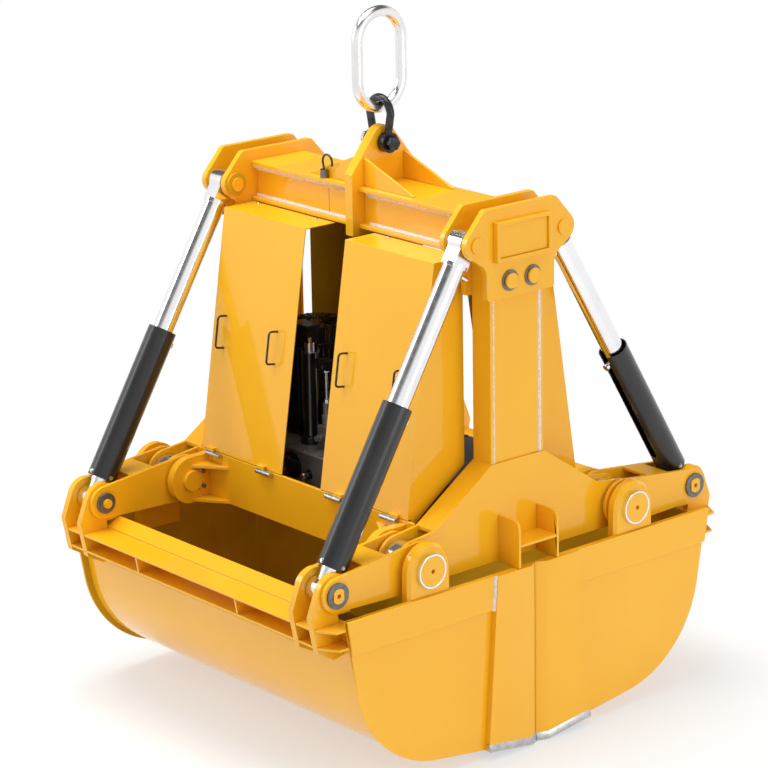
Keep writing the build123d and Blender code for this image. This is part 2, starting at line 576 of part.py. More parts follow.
def gable_box():
    """Gable of two cheeks, closed along its slope and open over the hinge tubes."""
    y_in, y_out = GABLE_Y
    mouth = HINGE_X - GABLE_MOUTH_SETBACK
    box = plate_xz(gable_face(), y_in, y_out)
    box -= plate_xz(offset(gable_face(), -GABLE_T), y_in + GABLE_T, y_out - GABLE_T)
    box -= block(-mouth, mouth, y_in + GABLE_T, y_out - GABLE_T, GABLE_FOOT_Z, GABLE_FOOT_Z + GABLE_T)
    nose = block(GABLE_SHOULDER_X, HINGE_X + 2 * GABLE_NOSE_R, y_in + GABLE_T, y_out - GABLE_T,
                 GABLE_OPEN_Z, 2 * GABLE_SHOULDER_Z)
    box -= nose
    box -= other_side(nose)
    box += gable_ledge()
    box += other_side(gable_ledge())
    for side in (-1, 1):
        box -= bar_y(side * HINGE_X, 0, HINGE_TUBE_D + 2 * FIT, y_in, y_out)
    return box


def hinge_barrel():
    """Tube through the gable nose, with a collar against each gable wall."""
    start, end = ARM_INNER[1] + SIDE, ARM_OUTER[0] - SIDE
    collar_d = HINGE_TUBE_D + 2 * HINGE_COLLAR_LIP
    tube = bar_y(HINGE_X, 0, HINGE_TUBE_D, start, end)
    tube += bar_y(HINGE_X, 0, collar_d, start, GABLE_Y[0])
    tube += bar_y(HINGE_X, 0, collar_d, GABLE_Y[1], end)
    return tube - bar_y(HINGE_X, 0, HINGE_PIN_D + 2 * FIT, start, end)


def side_plate():
    """Long wall of the lower frame, notched where the inner arm plates turn."""
    end = GABLE_Y[0]
    wall = block(SIDE_PLATE_INNER, SIDE_PLATE_X, -end, end, GABLE_FOOT_Z, SIDE_PLATE_TOP_Z)
    start, stop = ARM_INNER[0] - ARM_CLEAR, ARM_INNER[1] + ARM_CLEAR
    notch = bar_y(HINGE_X, 0, 2 * (ARM_HINGE_R + ARM_CLEAR), start, stop)
    return wall - notch - other_end(notch)


def base_plate():
    end = GABLE_Y[0]
    return block(-SIDE_PLATE_INNER, SIDE_PLATE_INNER, -end, end, GABLE_FOOT_Z, BASE_TOP_Z)


def hinge_lug():
    start, end = HINGE_LUG_Y
    tongue = outline((SIDE_PLATE_X, GABLE_FOOT_Z), (HINGE_X, -HINGE_LUG_R), (HINGE_X, HINGE_LUG_R),
                     (SIDE_PLATE_X, HINGE_LUG_R))
    lug = plate_xz(tongue, start, end) + bar_y(HINGE_X, 0, 2 * HINGE_LUG_R, start, end)
    lug -= block(0, SIDE_PLATE_X, start, end, -HINGE_LUG_R, HINGE_LUG_R)
    lug -= bar_y(HINGE_X, 0, HINGE_PIN_TAIL_D + 2 * FIT, start, end)
    corner = outline((SIDE_PLATE_X, start), (SIDE_PLATE_X, start - LUG_GUSSET_REACH), (HINGE_X, start))
    for z in LUG_GUSSET_Z:
        lug += plate_xy(corner, z, z + LUG_GUSSET_T)
    return lug


def hinge_pin():
    """Stepped pin with a puller thread in its face and a slot for the keeper."""
    start, end = HINGE_LUG_Y
    half = HINGE_PIN_TAIL_D / 2
    pin = bar_y(HINGE_X, 0, HINGE_PIN_D, end, HINGE_PIN_FACE_Y)
    pin += bar_y(HINGE_X, 0, HINGE_PIN_TAIL_D, KEEPER_Y - HINGE_TAIL_OUT, end)
    pin -= block(HINGE_X - half, KEEPER_X, KEEPER_Y, start, -half, half)
    return pin - bar_y(HINGE_X, 0, PULLER_D, HINGE_PIN_FACE_Y - PULLER_DEPTH, HINGE_PIN_FACE_Y)


def pin_keeper():
    plate = block(KEEPER_X - KEEPER_W, KEEPER_X, KEEPER_Y, HINGE_LUG_Y[0], -KEEPER_HALF, KEEPER_HALF)
    x = KEEPER_X - KEEPER_BOLT_SETBACK
    spots = (-KEEPER_BOLT_SPREAD, KEEPER_BOLT_SPREAD)
    bolts = [bar_y(x, z, KEEPER_BOLT_D, KEEPER_Y - KEEPER_BOLT_T, KEEPER_Y) for z in spots]
    return [plate, *bolts]


def bumper_bracket():
    """Two walls and a shelf that guard the hinge ends of the frame."""
    start, inside = GABLE_Y[1], BUMPER_X - BUMPER_T / 2
    side = outline((start, BUMPER_FOOT_Z), (BUMPER_END_Y, BUMPER_FOOT_Z), (BUMPER_END_Y, BUMPER_TOP_Z),
                   (start, BUMPER_TOP_Z))
    corner = side.vertices().sort_by(lambda v: v.X + v.Y)[-1]
    wall = plate_yz(fillet(corner, BUMPER_CORNER_R), inside, inside + BUMPER_T)
    shelf = block(-inside, inside, start, BUMPER_END_Y - BUMPER_SHELF_SETBACK,
                  BUMPER_SHELF_Z, BUMPER_SHELF_Z + BUMPER_T)
    return wall + other_side(wall) + shelf


def cover_hinge_post(y):
    """Fixed half of a cover hinge: block, half knuckle and its pin."""
    near, far = y - KNUCKLE_HALF, y - SIDE / 2
    post = bar_y(KNUCKLE_X, KNUCKLE_Z, KNUCKLE_D, near, far)
    post += block(SIDE_PLATE_X, KNUCKLE_X, near, far, KNUCKLE_Z - KNUCKLE_D / 2, KNUCKLE_Z)
    pin_end = y + KNUCKLE_HALF - KNUCKLE_PIN_SETBACK
    return post + bar_y(KNUCKLE_X, KNUCKLE_Z, KNUCKLE_PIN_D, y - SIDE, pin_end)


# Covers, drawn for the +X and +Y corner
def cover_panel():
    """Leaning door with a folded top, a wall at its outer end that drops behind the gable, and two hinge knuckles."""
    foot_x, foot_z = COVER_FOOT
    top_x, top_z = COVER_SHOULDER
    inner_foot = (foot_x - COVER_T / cos(COVER_UP), foot_z)
    inner_top = (top_x - COVER_T / cos(COVER_UP) + COVER_T * tan(COVER_UP), top_z - COVER_T)
    profile = outline(COVER_FOOT, COVER_SHOULDER, (COVER_TOP_X, top_z), (COVER_TOP_X, top_z - COVER_T),
                      inner_top, inner_foot)
    wall = outline(inner_foot, inner_top, (COVER_BACK[0], top_z - COVER_T), COVER_BACK, COVER_WALL_FOOT,
                   (COVER_WALL_FOOT[0], foot_z))
    panel = plate_xz(profile, *COVER_Y) + plate_xz(wall, COVER_Y[1] - COVER_T, COVER_Y[1])
    for y in KNUCKLE_Y:
        near, far = y + SIDE / 2, y + KNUCKLE_HALF
        panel += bar_y(KNUCKLE_X, KNUCKLE_Z, KNUCKLE_D, near, far)
        panel += block(foot_x - LEAF_BITE, KNUCKLE_X, near, far, foot_z, foot_z + LEAF_RISE)
        panel -= bar_y(KNUCKLE_X, KNUCKLE_Z, KNUCKLE_PIN_D + 2 * RUN, near, far)
    return panel


def cover_handle(y):
    (foot_x, foot_z), (top_x, top_z) = COVER_FOOT, COVER_SHOULDER
    fall = (top_x - foot_x) / (top_z - foot_z)
    low, high = [(foot_x + (z - foot_z) * fall, z) for z in HANDLE_Z]
    out_x, out_z = HANDLE_STANDOFF * cos(COVER_UP), HANDLE_STANDOFF * sin(COVER_UP)
    path = FilletPolyline((low[0], y, low[1]), (low[0] + out_x, y, low[1] + out_z),
                          (high[0] + out_x, y, high[1] + out_z), (high[0], y, high[1]),
                          radius=HANDLE_BEND)
    section = Plane(origin=path @ 0, z_dir=path % 0) * Circle(HANDLE_ROD / 2)
    return sweep(section, path)


def cover_handles(first_edge, direction):
    """Two grips per cover, set at the same distances from its first edge."""
    steps = (HANDLE_FIRST, HANDLE_FIRST + HANDLE_STEP)
    return [cover_handle(first_edge + direction * step) for step in steps]


# Shells, drawn for the +X shell
def bowl_points(radius, setback=0.0):
    """Corners of a bowl outline, moved towards the other shell by the setback."""
    floor, lean = radians(FLOOR_SLOPE), radians(BACK_LEAN)
    x = BOWL_X - setback
    low = (x + radius * sin(floor), BOWL_Z - radius * cos(floor))
    high = (x + radius * cos(lean), BOWL_Z - radius * sin(lean))
    half = (floor - radians(90) - lean) / 2
    middle = (x + radius * cos(half), BOWL_Z + radius * sin(half))
    mate = (MATE_X, low[1] + (MATE_X - low[0]) * tan(floor))
    rim = (high[0] + (RIM_Z - high[1]) * tan(lean), RIM_Z)
    return mate, low, middle, high, rim


def bowl_face(radius, setback=0.0):
    """Area between the mating edge, the rim and the bowl line."""
    mate, low, middle, high, rim = bowl_points(radius, setback)
    corner = (MATE_X, RIM_Z)
    edges = [Line(mate, low), ThreePointArc(low, middle, high), Line(high, rim), Line(rim, corner),
             Line(corner, mate)]
    return make_face(edges)


def floor_z(x):
    mate = bowl_points(BOWL_R)[0]
    return mate[1] + (x - MATE_X) * tan(radians(FLOOR_SLOPE))


def back_x(z):
    rim = bowl_points(BOWL_R)[4]
    return rim[0] + (z - RIM_Z) * tan(radians(BACK_LEAN))


def skin_x(z):
    """Outer face of the skin, which the end plates stand proud of."""
    return back_x(z) - SKIN_SETBACK


def above_skin():
    """Space over the top edge of the skin."""
    return block(0, 2 * ROD_PIN_X, -SHELL_FACE_Y, SHELL_FACE_Y, SKIN_TOP_Z, 0)


def edge_block(width_y):
    """Wear bar along the mating edge of the floor."""
    shape = outline((MATE_X, floor_z(MATE_X)), (EDGE_X, floor_z(EDGE_X)), (EDGE_X, floor_z(EDGE_X) + EDGE_T),
                    (MATE_X, floor_z(MATE_X) + EDGE_T))
    return plate_xz(shape, -width_y, width_y)


def shell_skin():
    shape = bowl_face(BOWL_R, SKIN_SETBACK) - bowl_face(BOWL_R - SKIN_T, SKIN_SETBACK)
    skin = plate_xz(shape, -SHELL_INNER_Y, SHELL_INNER_Y)
    return skin - above_skin() - edge_block(SHELL_FACE_Y)


def shell_end():
    return plate_xz(bowl_face(BOWL_R), SHELL_INNER_Y, SHELL_FACE_Y) - edge_block(SHELL_FACE_Y)


def rim_band():
    lean = (KNIFE_FOOT_X - KNIFE_TOP_X) / (RIM_Z - floor_z(KNIFE_FOOT_X))
    top_x = KNIFE_TOP_X + BAND_GAP
    shape = outline((top_x, RIM_Z), (back_x(RIM_Z), RIM_Z), (back_x(BAND_FOOT_Z), BAND_FOOT_Z),
                    (top_x + BAND_H * lean, BAND_FOOT_Z))
    return plate_xz(shape, SHELL_FACE_Y, SHELL_FACE_Y + BAND_T)


def mate_bevel():
    """Wedge that bevels the outer face of a knife towards the mating edge."""
    wedge = outline((0, SHELL_FACE_Y), (MATE_X, SHELL_FACE_Y), (KNIFE_BEVEL, KNIFE_FACE_Y),
                    (KNIFE_BEVEL, KNIFE_FACE_Y + KNIFE_T), (0, KNIFE_FACE_Y + KNIFE_T))
    return plate_xy(wedge, 2 * floor_z(MATE_X), 0)


def knife():
    """Upright bar on the shell end, above the cutting edge."""
    shape = outline((MATE_X, RIM_Z), (KNIFE_TOP_X, RIM_Z), (KNIFE_FOOT_X - EDGE_LEAN, edge_top(KNIFE_FOOT_X)),
                    (MATE_X, edge_top(MATE_X)))
    return plate_xz(shape, SHELL_FACE_Y, KNIFE_FACE_Y) - mate_bevel()


def edge_top(x):
    return floor_z(x) + EDGE_T


def cutting_edge():
    """Wear bar over the whole width, with an end under each knife."""
    shape = outline((MATE_X, floor_z(MATE_X)), (KNIFE_FOOT_X, floor_z(KNIFE_FOOT_X)),
                    (KNIFE_FOOT_X - EDGE_LEAN, edge_top(KNIFE_FOOT_X)), (MATE_X, edge_top(MATE_X)))
    end = plate_xz(shape, SHELL_FACE_Y, KNIFE_FACE_Y) - mate_bevel()
    return edge_block(SHELL_FACE_Y) + end + other_end(end)


def lug_plate(y_range):
    """Tall lug that carries the rod pin and runs down the back of the shell."""
    heel_z, root_z = ROD_PIN_Z - LUG_HEEL_DROP, ROD_PIN_Z - LUG_ROOT_DROP
    foot = outline((ROD_PIN_X + LUG_NOSE[0], ROD_PIN_Z + LUG_NOSE[1]),
                   (ROD_PIN_X + LUG_TOE[0], ROD_PIN_Z + LUG_TOE[1]),
                   (back_x(heel_z) + LUG_HEEL_OUT, heel_z), (back_x(root_z) - LUG_ROOT_IN, root_z))
    shape = make_hull((disc(ROD_PIN_X, ROD_PIN_Z, 2 * LUG_R) + foot).edges())
    shape -= disc(ROD_PIN_X, ROD_PIN_Z, ROD_PIN_D + 2 * FIT)
    return plate_xz(shape, *y_range) - plate_xz(bowl_face(BOWL_R, SKIN_SETBACK), *y_range)


def lug_plates():
    return [lug_plate(LUG_INNER), lug_plate(LUG_OUTER)]


def arm_plate(y_range):
    ends = disc(ROD_PIN_X, ROD_PIN_Z, 2 * ARM_PIN_R) + disc(HINGE_X, 0, 2 * ARM_HINGE_R)
    shape = make_hull(ends.edges())
    shape -= disc(ROD_PIN_X, ROD_PIN_Z, ROD_PIN_D + 2 * FIT)
    shape -= disc(HINGE_X, 0, HINGE_PIN_D + 2 * RUN)
    return plate_xz(shape, *y_range)


def arm_plates():
    return [arm_plate(ARM_INNER), arm_plate(ARM_OUTER)]


def arm_bridge():
    """Plate between the two arm plates, flush with their top edges."""
    span = hypot(ROD_PIN_X - HINGE_X, ROD_PIN_Z)
    fall = atan2(-ROD_PIN_Z, ROD_PIN_X - HINGE_X) + atan2(ARM_HINGE_R - ARM_PIN_R, span)
    top = [ARM_HINGE_R / cos(fall) - (x - HINGE_X) * tan(fall) for x in BRIDGE_X]
    shape = outline((BRIDGE_X[0], top[0]), (BRIDGE_X[1], top[1]), (BRIDGE_X[1], top[1] - BRIDGE_T),
                    (BRIDGE_X[0], top[0] - BRIDGE_T))
    return plate_xz(shape, ARM_INNER[1], ARM_OUTER[0])


def tombstone():
    """Outer hinge lug, chamfered, that stands on the shell end and laps behind it."""
    west, east = HINGE_X - TOMB_HALF, HINGE_X + TOMB_HALF
    start, foot = TOMB_Y[1] - TOMB_CHAMFER, RIM_Z - 2 * TOMB_CHAMFER
    top = outline((west, foot), (east, foot), (HINGE_X + TOMB_R, 0), (HINGE_X - TOMB_R, 0))
    top += disc(HINGE_X, 0, 2 * TOMB_R)
    plane = Plane(origin=(0, start, 0), x_dir=(-1, 0, 0), z_dir=(0, 1, 0))
    lug = plate_xz(top, TOMB_Y[0], start)
    lug += extrude(plane * mirror(top, Plane.YZ), amount=TOMB_CHAMFER, taper=45)
    lug -= block(west, east, *TOMB_Y, TOMB_FOOT_Z, RIM_Z)
    lug += block(west, east, TOMB_Y[0], SHELL_INNER_Y, TOMB_FOOT_Z, RIM_Z)
    return lug - bar_y(HINGE_X, 0, BUSH_D, *TOMB_Y)


def rim_flange(drop, depth, end_depth):
    """Flange along the back of a shell that tapers outside the outer lugs."""
    z = RIM_Z - drop
    root, reach, end_reach = back_x(z) - depth, back_x(z) + depth, back_x(z) + end_depth
    shape = outline((root, -SHELL_FACE_Y), (end_reach, -SHELL_FACE_Y), (reach, -LUG_OUTER[1]),
                    (reach, LUG_OUTER[1]), (end_reach, SHELL_FACE_Y), (root, SHELL_FACE_Y))
    return plate_xy(shape, z, z + RIM_FLANGE_T)


def rim_rib():
    """Rib between the two flanges, just behind their edges."""
    low, high = RIM_Z - RIM_LOWER_DROP, RIM_Z - RIM_UPPER_DROP
    low_reach = back_x(low) + RIM_LOWER_DEPTH - RIM_RIB_SETBACK
    high_reach = back_x(high) + RIM_UPPER_DEPTH - RIM_RIB_SETBACK
    root, foot = back_x(low) - RIM_LOWER_DEPTH, low + RIM_FLANGE_T
    shape = outline((root, foot), (low_reach, foot), (high_reach, high), (root, high))
    return plate_xz(shape, RIM_RIB_Y - RIM_RIB_T / 2, RIM_RIB_Y + RIM_RIB_T / 2)


def rim_cover():
    """Sloping plate on the top edge of the skin, between the inner lugs, with a lip down to the flange."""
    x, z = skin_x(SKIN_TOP_Z), SKIN_TOP_Z
    seat = RIM_Z - RIM_UPPER_DROP + RIM_FLANGE_T
    top_x, top_z = x - SKIN_T - RIM_COVER_RUN, z + RIM_COVER_RISE
    shape = outline((skin_x(seat) + RIM_COVER_LAP, seat), (skin_x(seat), seat), (x, z), (x - SKIN_T, z),
                    (top_x, top_z), (top_x + RIM_COVER_EDGE[0], top_z + RIM_COVER_EDGE[1]),
                    (x + RIM_COVER_LAP, z))
    return plate_xz(shape, -LUG_INNER[0], LUG_INNER[0])


def rim_stiffener():
    body = rim_flange(RIM_UPPER_DROP, RIM_UPPER_DEPTH, RIM_UPPER_END)
    body += rim_flange(RIM_LOWER_DROP, RIM_LOWER_DEPTH, RIM_LOWER_END)
    body += at_both_ends(rim_rib())
    body += rim_cover()
    body -= plate_xz(bowl_face(BOWL_R, SKIN_SETBACK), -SHELL_INNER_Y, SHELL_INNER_Y) - above_skin()
    for plate in at_both_ends(shell_end(), *lug_plates(), *arm_plates()):
        body -= plate
    return body


def rod_pin():
    """The two pin ends in the lugs, with their washer and nut."""
    x, z = ROD_PIN_X, ROD_PIN_Z
    face, back = ARM_OUTER[1], ARM_INNER[0]
    end = face + ROD_WASHER_T + ROD_PIN_OUT
    nut_end = back - ROD_NUT_T
    flat = ROD_PIN_D / 2 - ROD_PIN_FLAT
    outer = bar_y(x, z, ROD_PIN_D, LUG_OUTER[0], end)
    for side in (-1, 1):
        near, far = sorted((x + side * flat, x + side * ROD_PIN_D))
        outer -= block(near, far, face, end, z - ROD_PIN_D, z + ROD_PIN_D)
    outer -= bar_y(x, z, PULLER_D, end - PULLER_DEPTH, end)
    washer = ring_y(x, z, ROD_PIN_D + 2 * ROD_WASHER_LIP, ROD_PIN_D + 2 * FIT, face, face + ROD_WASHER_T)
    inner = bar_y(x, z, ROD_PIN_D, back, LUG_INNER[1])
    inner += bar_y(x, z, ROD_PIN_TAIL_D, nut_end - ROD_TAIL_OUT, back)
    nut = ring_y(x, z, ROD_PIN_TAIL_D + 2 * ROD_NUT_LIP, ROD_PIN_TAIL_D, nut_end, back)
    return [outer, washer, inner, nut]


def hinge_bush():
    return ring_y(HINGE_X, 0, BUSH_D, HINGE_PIN_D + 2 * RUN, TOMB_Y[0], SHELL_FACE_Y + BUSH_OUT)


# Cylinders, drawn hanging straight down from the head pin at the origin
def barrel():
    side, neck = EYE_W / 2, TUBE_D / 2 - TUBE_NECK
    boss = COLUMN_DEPTH / 2 - 2 * SIDE
    collar_end = COLLAR_AT + COLLAR_T
    shape = bar_z(0, 0, TUBE_D, -TUBE_END, -COLLAR_AT)
    shape += bar_y(0, 0, 2 * HEAD_EYE_R, -side, side)
    shape += bar_y(0, 0, HEAD_PIN_D + 2 * EYE_BOSS_WALL, -boss, boss)
    shape += block(-neck, neck, -side, side, -COLLAR_AT - EYE_BITE, 0)
    shape += bar_z(0, 0, TUBE_D + 2 * COLLAR_LIP, -collar_end, -COLLAR_AT)
    shape += bar_x(0, -PORT_AT, PORT_D, -PORT_REACH, 0)
    shape += bar_x(0, -HEAD_PORT_AT, HEAD_PORT_D, -HEAD_PORT_REACH, 0)
    shape -= bar_z(0, 0, TUBE_BORE_D, -TUBE_END + GLAND_T, -collar_end)
    shape -= bar_z(0, 0, ROD_D + 2 * RUN, -TUBE_END, -TUBE_END + GLAND_T)
    return shape - bar_y(0, 0, HEAD_PIN_D + 2 * RUN, -boss, boss)


def rod():
    """Piston rod with its shank and eye, and the length of pin that turns in the eye."""
    pin_half = LUG_GAP / 2 - 2 * SIDE
    shape = bar_z(0, 0, ROD_D, -GUARD_FOOT, -ROD_TOP)
    shape += bar_z(0, 0, ROD_SHANK_D, -REACH, -GUARD_FOOT)
    shape += bar_y(0, -REACH, 2 * ROD_EYE_R, -EYE_W / 2, EYE_W / 2)
    shape += bar_y(0, -REACH, ROD_PIN_D, -pin_half, pin_half)
    return shape + bar_z(0, 0, TUBE_BORE_D - 2 * RUN, -ROD_TOP - PISTON_T, -ROD_TOP)


def guard():
    """Tube round the rod, with a round-ended slot on the inside for the oil port."""
    tube = bar_z(0, 0, GUARD_D, -GUARD_FOOT, -GUARD_TOP)
    tube -= bar_z(0, 0, GUARD_BORE_D, -GUARD_FOOT + GUARD_CAP_T, -GUARD_TOP)
    tube -= block(-GUARD_D, 0, -SLOT_W / 2, SLOT_W / 2, -SLOT_END + SLOT_W / 2, -GUARD_TOP)
    tube -= bar_x(0, -SLOT_END + SLOT_W / 2, SLOT_W, -GUARD_D, 0)
    return tube - bar_z(0, 0, ROD_D, -GUARD_FOOT, -GUARD_TOP)


def hang(shape):
    """Hang a cylinder piece from the +X and +Y head pin at its lean."""
    return Location((HEAD_PIN_X, CYLINDER_Y, HEAD_PIN_Z), (0, -LEAN, 0)) * shape


# Power pack
def oil_tank():
    wall, over = TANK_T, TANK_LID_OVER
    tank = block(-TANK_X, TANK_X, -TANK_Y, TANK_Y, BASE_TOP_Z, TANK_TOP_Z)
    tank -= block(wall - TANK_X, TANK_X - wall, wall - TANK_Y, TANK_Y - wall, BASE_TOP_Z + wall, TANK_TOP_Z)
    lid = block(-TANK_X - over, TANK_X + over, -TANK_Y - over, TANK_Y + over, TANK_TOP_Z, TANK_LID_Z)
    return [tank, lid]


def electric_motor():
    foot_top = TANK_LID_Z + MOTOR_FOOT_T
    motor = bar_z(MOTOR_X, MOTOR_Y, MOTOR_FOOT_D, TANK_LID_Z, foot_top)
    motor += bar_z(MOTOR_X, MOTOR_Y, MOTOR_D, foot_top, MOTOR_TOP_Z)
    return motor + bar_z(MOTOR_X, MOTOR_Y, FAN_D, MOTOR_TOP_Z, MOTOR_TOP_Z + FAN_T)


def terminal_box():
    """Supply box on the tank, with an open cable gland towards the gap between the covers."""
    face = BOX_X + BOX_D
    middle = TANK_LID_Z + BOX_H / 2
    end = face + CABLE_GLAND_REACH
    box = block(BOX_X, face, -BOX_W / 2, BOX_W / 2, TANK_LID_Z, TANK_LID_Z + BOX_H)
    box += bar_x(0, middle, CABLE_BORE_D + 2 * CABLE_GLAND_WALL, face, end)
    return box - bar_x(0, middle, CABLE_BORE_D, end - CABLE_BORE_DEPTH, end)


def accumulator():
    x, y = ACCUMULATOR_X, ACCUMULATOR_Y
    foot_top = TANK_LID_Z + ACCUMULATOR_FOOT_T
    neck_top = ACCUMULATOR_TOP_Z + ACCUMULATOR_NECK_T
    body = bar_z(x, y, ACCUMULATOR_D + 2 * ACCUMULATOR_FOOT_LIP, TANK_LID_Z, foot_top)
    body += bar_z(x, y, ACCUMULATOR_D, foot_top, ACCUMULATOR_TOP_Z)
    body += bar_z(x, y, ACCUMULATOR_NECK_D, ACCUMULATOR_TOP_Z, neck_top)
    return body + bar_z(x, y, ACCUMULATOR_VALVE_D, neck_top, neck_top + ACCUMULATOR_VALVE_T)


def valve_block():
    x, y = VALVE_X, VALVE_Y
    top = TANK_LID_Z + VALVE_H
    body = block(x - VALVE_W / 2, x + VALVE_W / 2, y - VALVE_L / 2, y + VALVE_L / 2, TANK_LID_Z, top)
    for step in (-1, 0, 1):
        body += bar_z(x, y + step * SOLENOID_STEP, SOLENOID_D, top, top + SOLENOID_H)
    return body


# Nodes
def save_suspension():
    save("master_link", master_link())
    save("shackle_bow", shackle_bow())
    save("shackle_bolt", *shackle_bolt())


def save_upper_frame():
    save("lifting_plate", lifting_plate())
    save("lifting_gussets", *at_four_corners(lifting_gusset()))
    save("top_beam", *at_both_ends(top_beam()))
    save("inner_end_plates", *at_both_ends(end_plate(PLATE_INNER)))
    save("outer_end_plates", *at_both_ends(end_plate(PLATE_OUTER)))
    save("nameplates", *at_both_ends(nameplate_frame(), nameplate_panel()))
    save("columns", *at_both_ends(column()))
    save("column_bolts", *at_four_corners(*column_bolt()))
    save("head_pins", *at_four_corners(*head_pin()))
    save("cable_hook", cable_hook())


def save_lower_frame():
    save("gable_boxes", *at_both_ends(gable_box()))
    save("hinge_barrels", *at_four_corners(hinge_barrel()))
    save("base_tray", *at_both_sides(side_plate()), base_plate())
    save("inner_hinge_lugs", *at_four_corners(hinge_lug()))
    save("hinge_pins", *at_four_corners(hinge_pin()))
    save("pin_keepers", *at_four_corners(*pin_keeper()))
    save("bumper_brackets", *at_both_ends(bumper_bracket()))
    save("cover_hinge_posts", *at_four_corners(*[cover_hinge_post(y) for y in KNUCKLE_Y]))


def save_power_pack():
    save("oil_tank", *oil_tank())
    save("electric_motor", electric_motor())
    save("terminal_box", terminal_box())
    save("accumulator", accumulator())
    save("valve_block", valve_block())


def save_corner(side, end, place):
    """Cover and cylinder of one corner; place moves the +X +Y pieces there."""
    name = f"{side}_{end}"
    from_outer = (side == "left") == (end == "rear")
    first_edge, direction = (COVER_Y[1], -1) if from_outer else (COVER_Y[0], 1)
    save(f"{name}_cover", place(cover_panel()))
    save(f"{name}_handles", *[place(grip) for grip in cover_handles(first_edge, direction)])
    save(f"{name}_barrel", place(hang(barrel())))
    save(f"{name}_rod", place(hang(rod())))
    save(f"{name}_guard", place(hang(guard())))


def save_shell(side, place):
    def put(name, *shapes):
        save(f"{side}_{name}", *[place(shape) for shape in shapes])

    put("shell_skin", shell_skin())
    put("shell_ends", *at_both_ends(shell_end(), rim_band()))
    put("knives", *at_both_ends(knife()), cutting_edge())
    put("rim_stiffener", rim_stiffener())
    put("shell_lugs", *at_both_ends(*lug_plates(), tombstone()))
    put("arms", *at_both_ends(*arm_plates(), arm_bridge()))
    put("pin_sets", *at_both_ends(*rod_pin(), hinge_bush()))


os.makedirs("parts", exist_ok=True)
save_suspension()
save_upper_frame()
save_lower_frame()
save_power_pack()
save_shell("right", lambda shape: shape)
save_shell("left", other_side)
save_corner("right", "rear", lambda shape: shape)
save_corner("right", "front", other_end)
save_corner("left", "rear", other_side)
save_corner("left", "front", lambda shape: other_side(other_end(shape)))
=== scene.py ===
"""Looks for the clamshell grab: finishes for every CAD node, welds and small fittings, studio and camera.

Metres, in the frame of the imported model: X is the opening direction, Y runs along the shell hinges, Z is up.
"""
import json
import math

import bmesh
import bpy
from mathutils import Matrix, Vector


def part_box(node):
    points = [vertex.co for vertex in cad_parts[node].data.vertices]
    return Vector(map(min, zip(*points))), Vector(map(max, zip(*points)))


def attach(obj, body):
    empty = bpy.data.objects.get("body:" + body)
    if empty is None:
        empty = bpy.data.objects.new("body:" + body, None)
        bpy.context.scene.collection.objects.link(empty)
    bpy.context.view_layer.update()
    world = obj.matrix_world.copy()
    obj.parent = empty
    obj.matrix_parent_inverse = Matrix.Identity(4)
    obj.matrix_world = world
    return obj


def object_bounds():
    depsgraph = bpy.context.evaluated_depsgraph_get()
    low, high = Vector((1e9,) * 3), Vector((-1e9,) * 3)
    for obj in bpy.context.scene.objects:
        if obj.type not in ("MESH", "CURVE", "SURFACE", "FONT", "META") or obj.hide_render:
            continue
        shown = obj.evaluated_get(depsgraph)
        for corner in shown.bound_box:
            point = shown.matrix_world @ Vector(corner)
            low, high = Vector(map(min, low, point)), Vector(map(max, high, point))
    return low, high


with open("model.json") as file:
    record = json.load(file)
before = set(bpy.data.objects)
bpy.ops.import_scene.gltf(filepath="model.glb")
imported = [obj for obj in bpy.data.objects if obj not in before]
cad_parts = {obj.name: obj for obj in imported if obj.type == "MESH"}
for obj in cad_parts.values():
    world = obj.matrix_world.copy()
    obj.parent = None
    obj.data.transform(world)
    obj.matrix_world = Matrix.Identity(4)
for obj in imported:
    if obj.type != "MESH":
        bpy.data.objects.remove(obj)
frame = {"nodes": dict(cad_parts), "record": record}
cad_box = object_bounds()

MM = 0.001
SIDES = {"left": -1, "right": 1}
ENDS = {"front": -1, "rear": 1}
NODES = frame["nodes"]
SLOT_OF = {part["node"]: part["material_slot"] for part in frame["record"]["subparts"]}


def mm(*lengths):
    """Vector of lengths given in millimetres."""
    return Vector(lengths) * MM


# Linear colours
ENAMEL = (0.93, 0.462, 0.011)
ENAMEL_DEEP = (0.91, 0.445, 0.009)
# Yellow darkened as painted shade, for faces inside the shells and covers and in recesses
ENAMEL_PAINTED_SHADE = (0.62, 0.355, 0.011)
ENAMEL_PAINTED_SHADE_DEEP = (0.53, 0.30, 0.009)
PLATED = (0.90, 0.90, 0.91)
PLATED_DULL = (0.83, 0.83, 0.85)
TUMBLED = (0.85, 0.84, 0.83)
TUMBLED_DULL = (0.79, 0.78, 0.77)
MACHINED = (0.58, 0.58, 0.58)
MACHINED_DULL = (0.44, 0.44, 0.44)
WASHER = (0.20, 0.205, 0.21)
WASHER_DARK = (0.14, 0.145, 0.15)
FORGED = (0.068, 0.068, 0.073)
FORGED_DARK = (0.030, 0.030, 0.034)
BLACK = (0.006, 0.006, 0.007)
BLACK_DULL = (0.010, 0.010, 0.011)
GREY = (0.105, 0.098, 0.092)
GREY_PALE = (0.15, 0.14, 0.13)
WELD = (0.84, 0.79, 0.75)
WELD_DARK = (0.66, 0.60, 0.56)
BRASS = (0.62, 0.45, 0.20)
BRASS_DARK = (0.45, 0.31, 0.12)


# Materials
COLOUR_SPREAD = (0.35, 0.65)
ROUGHNESS_SPREAD = (0.3, 0.7)


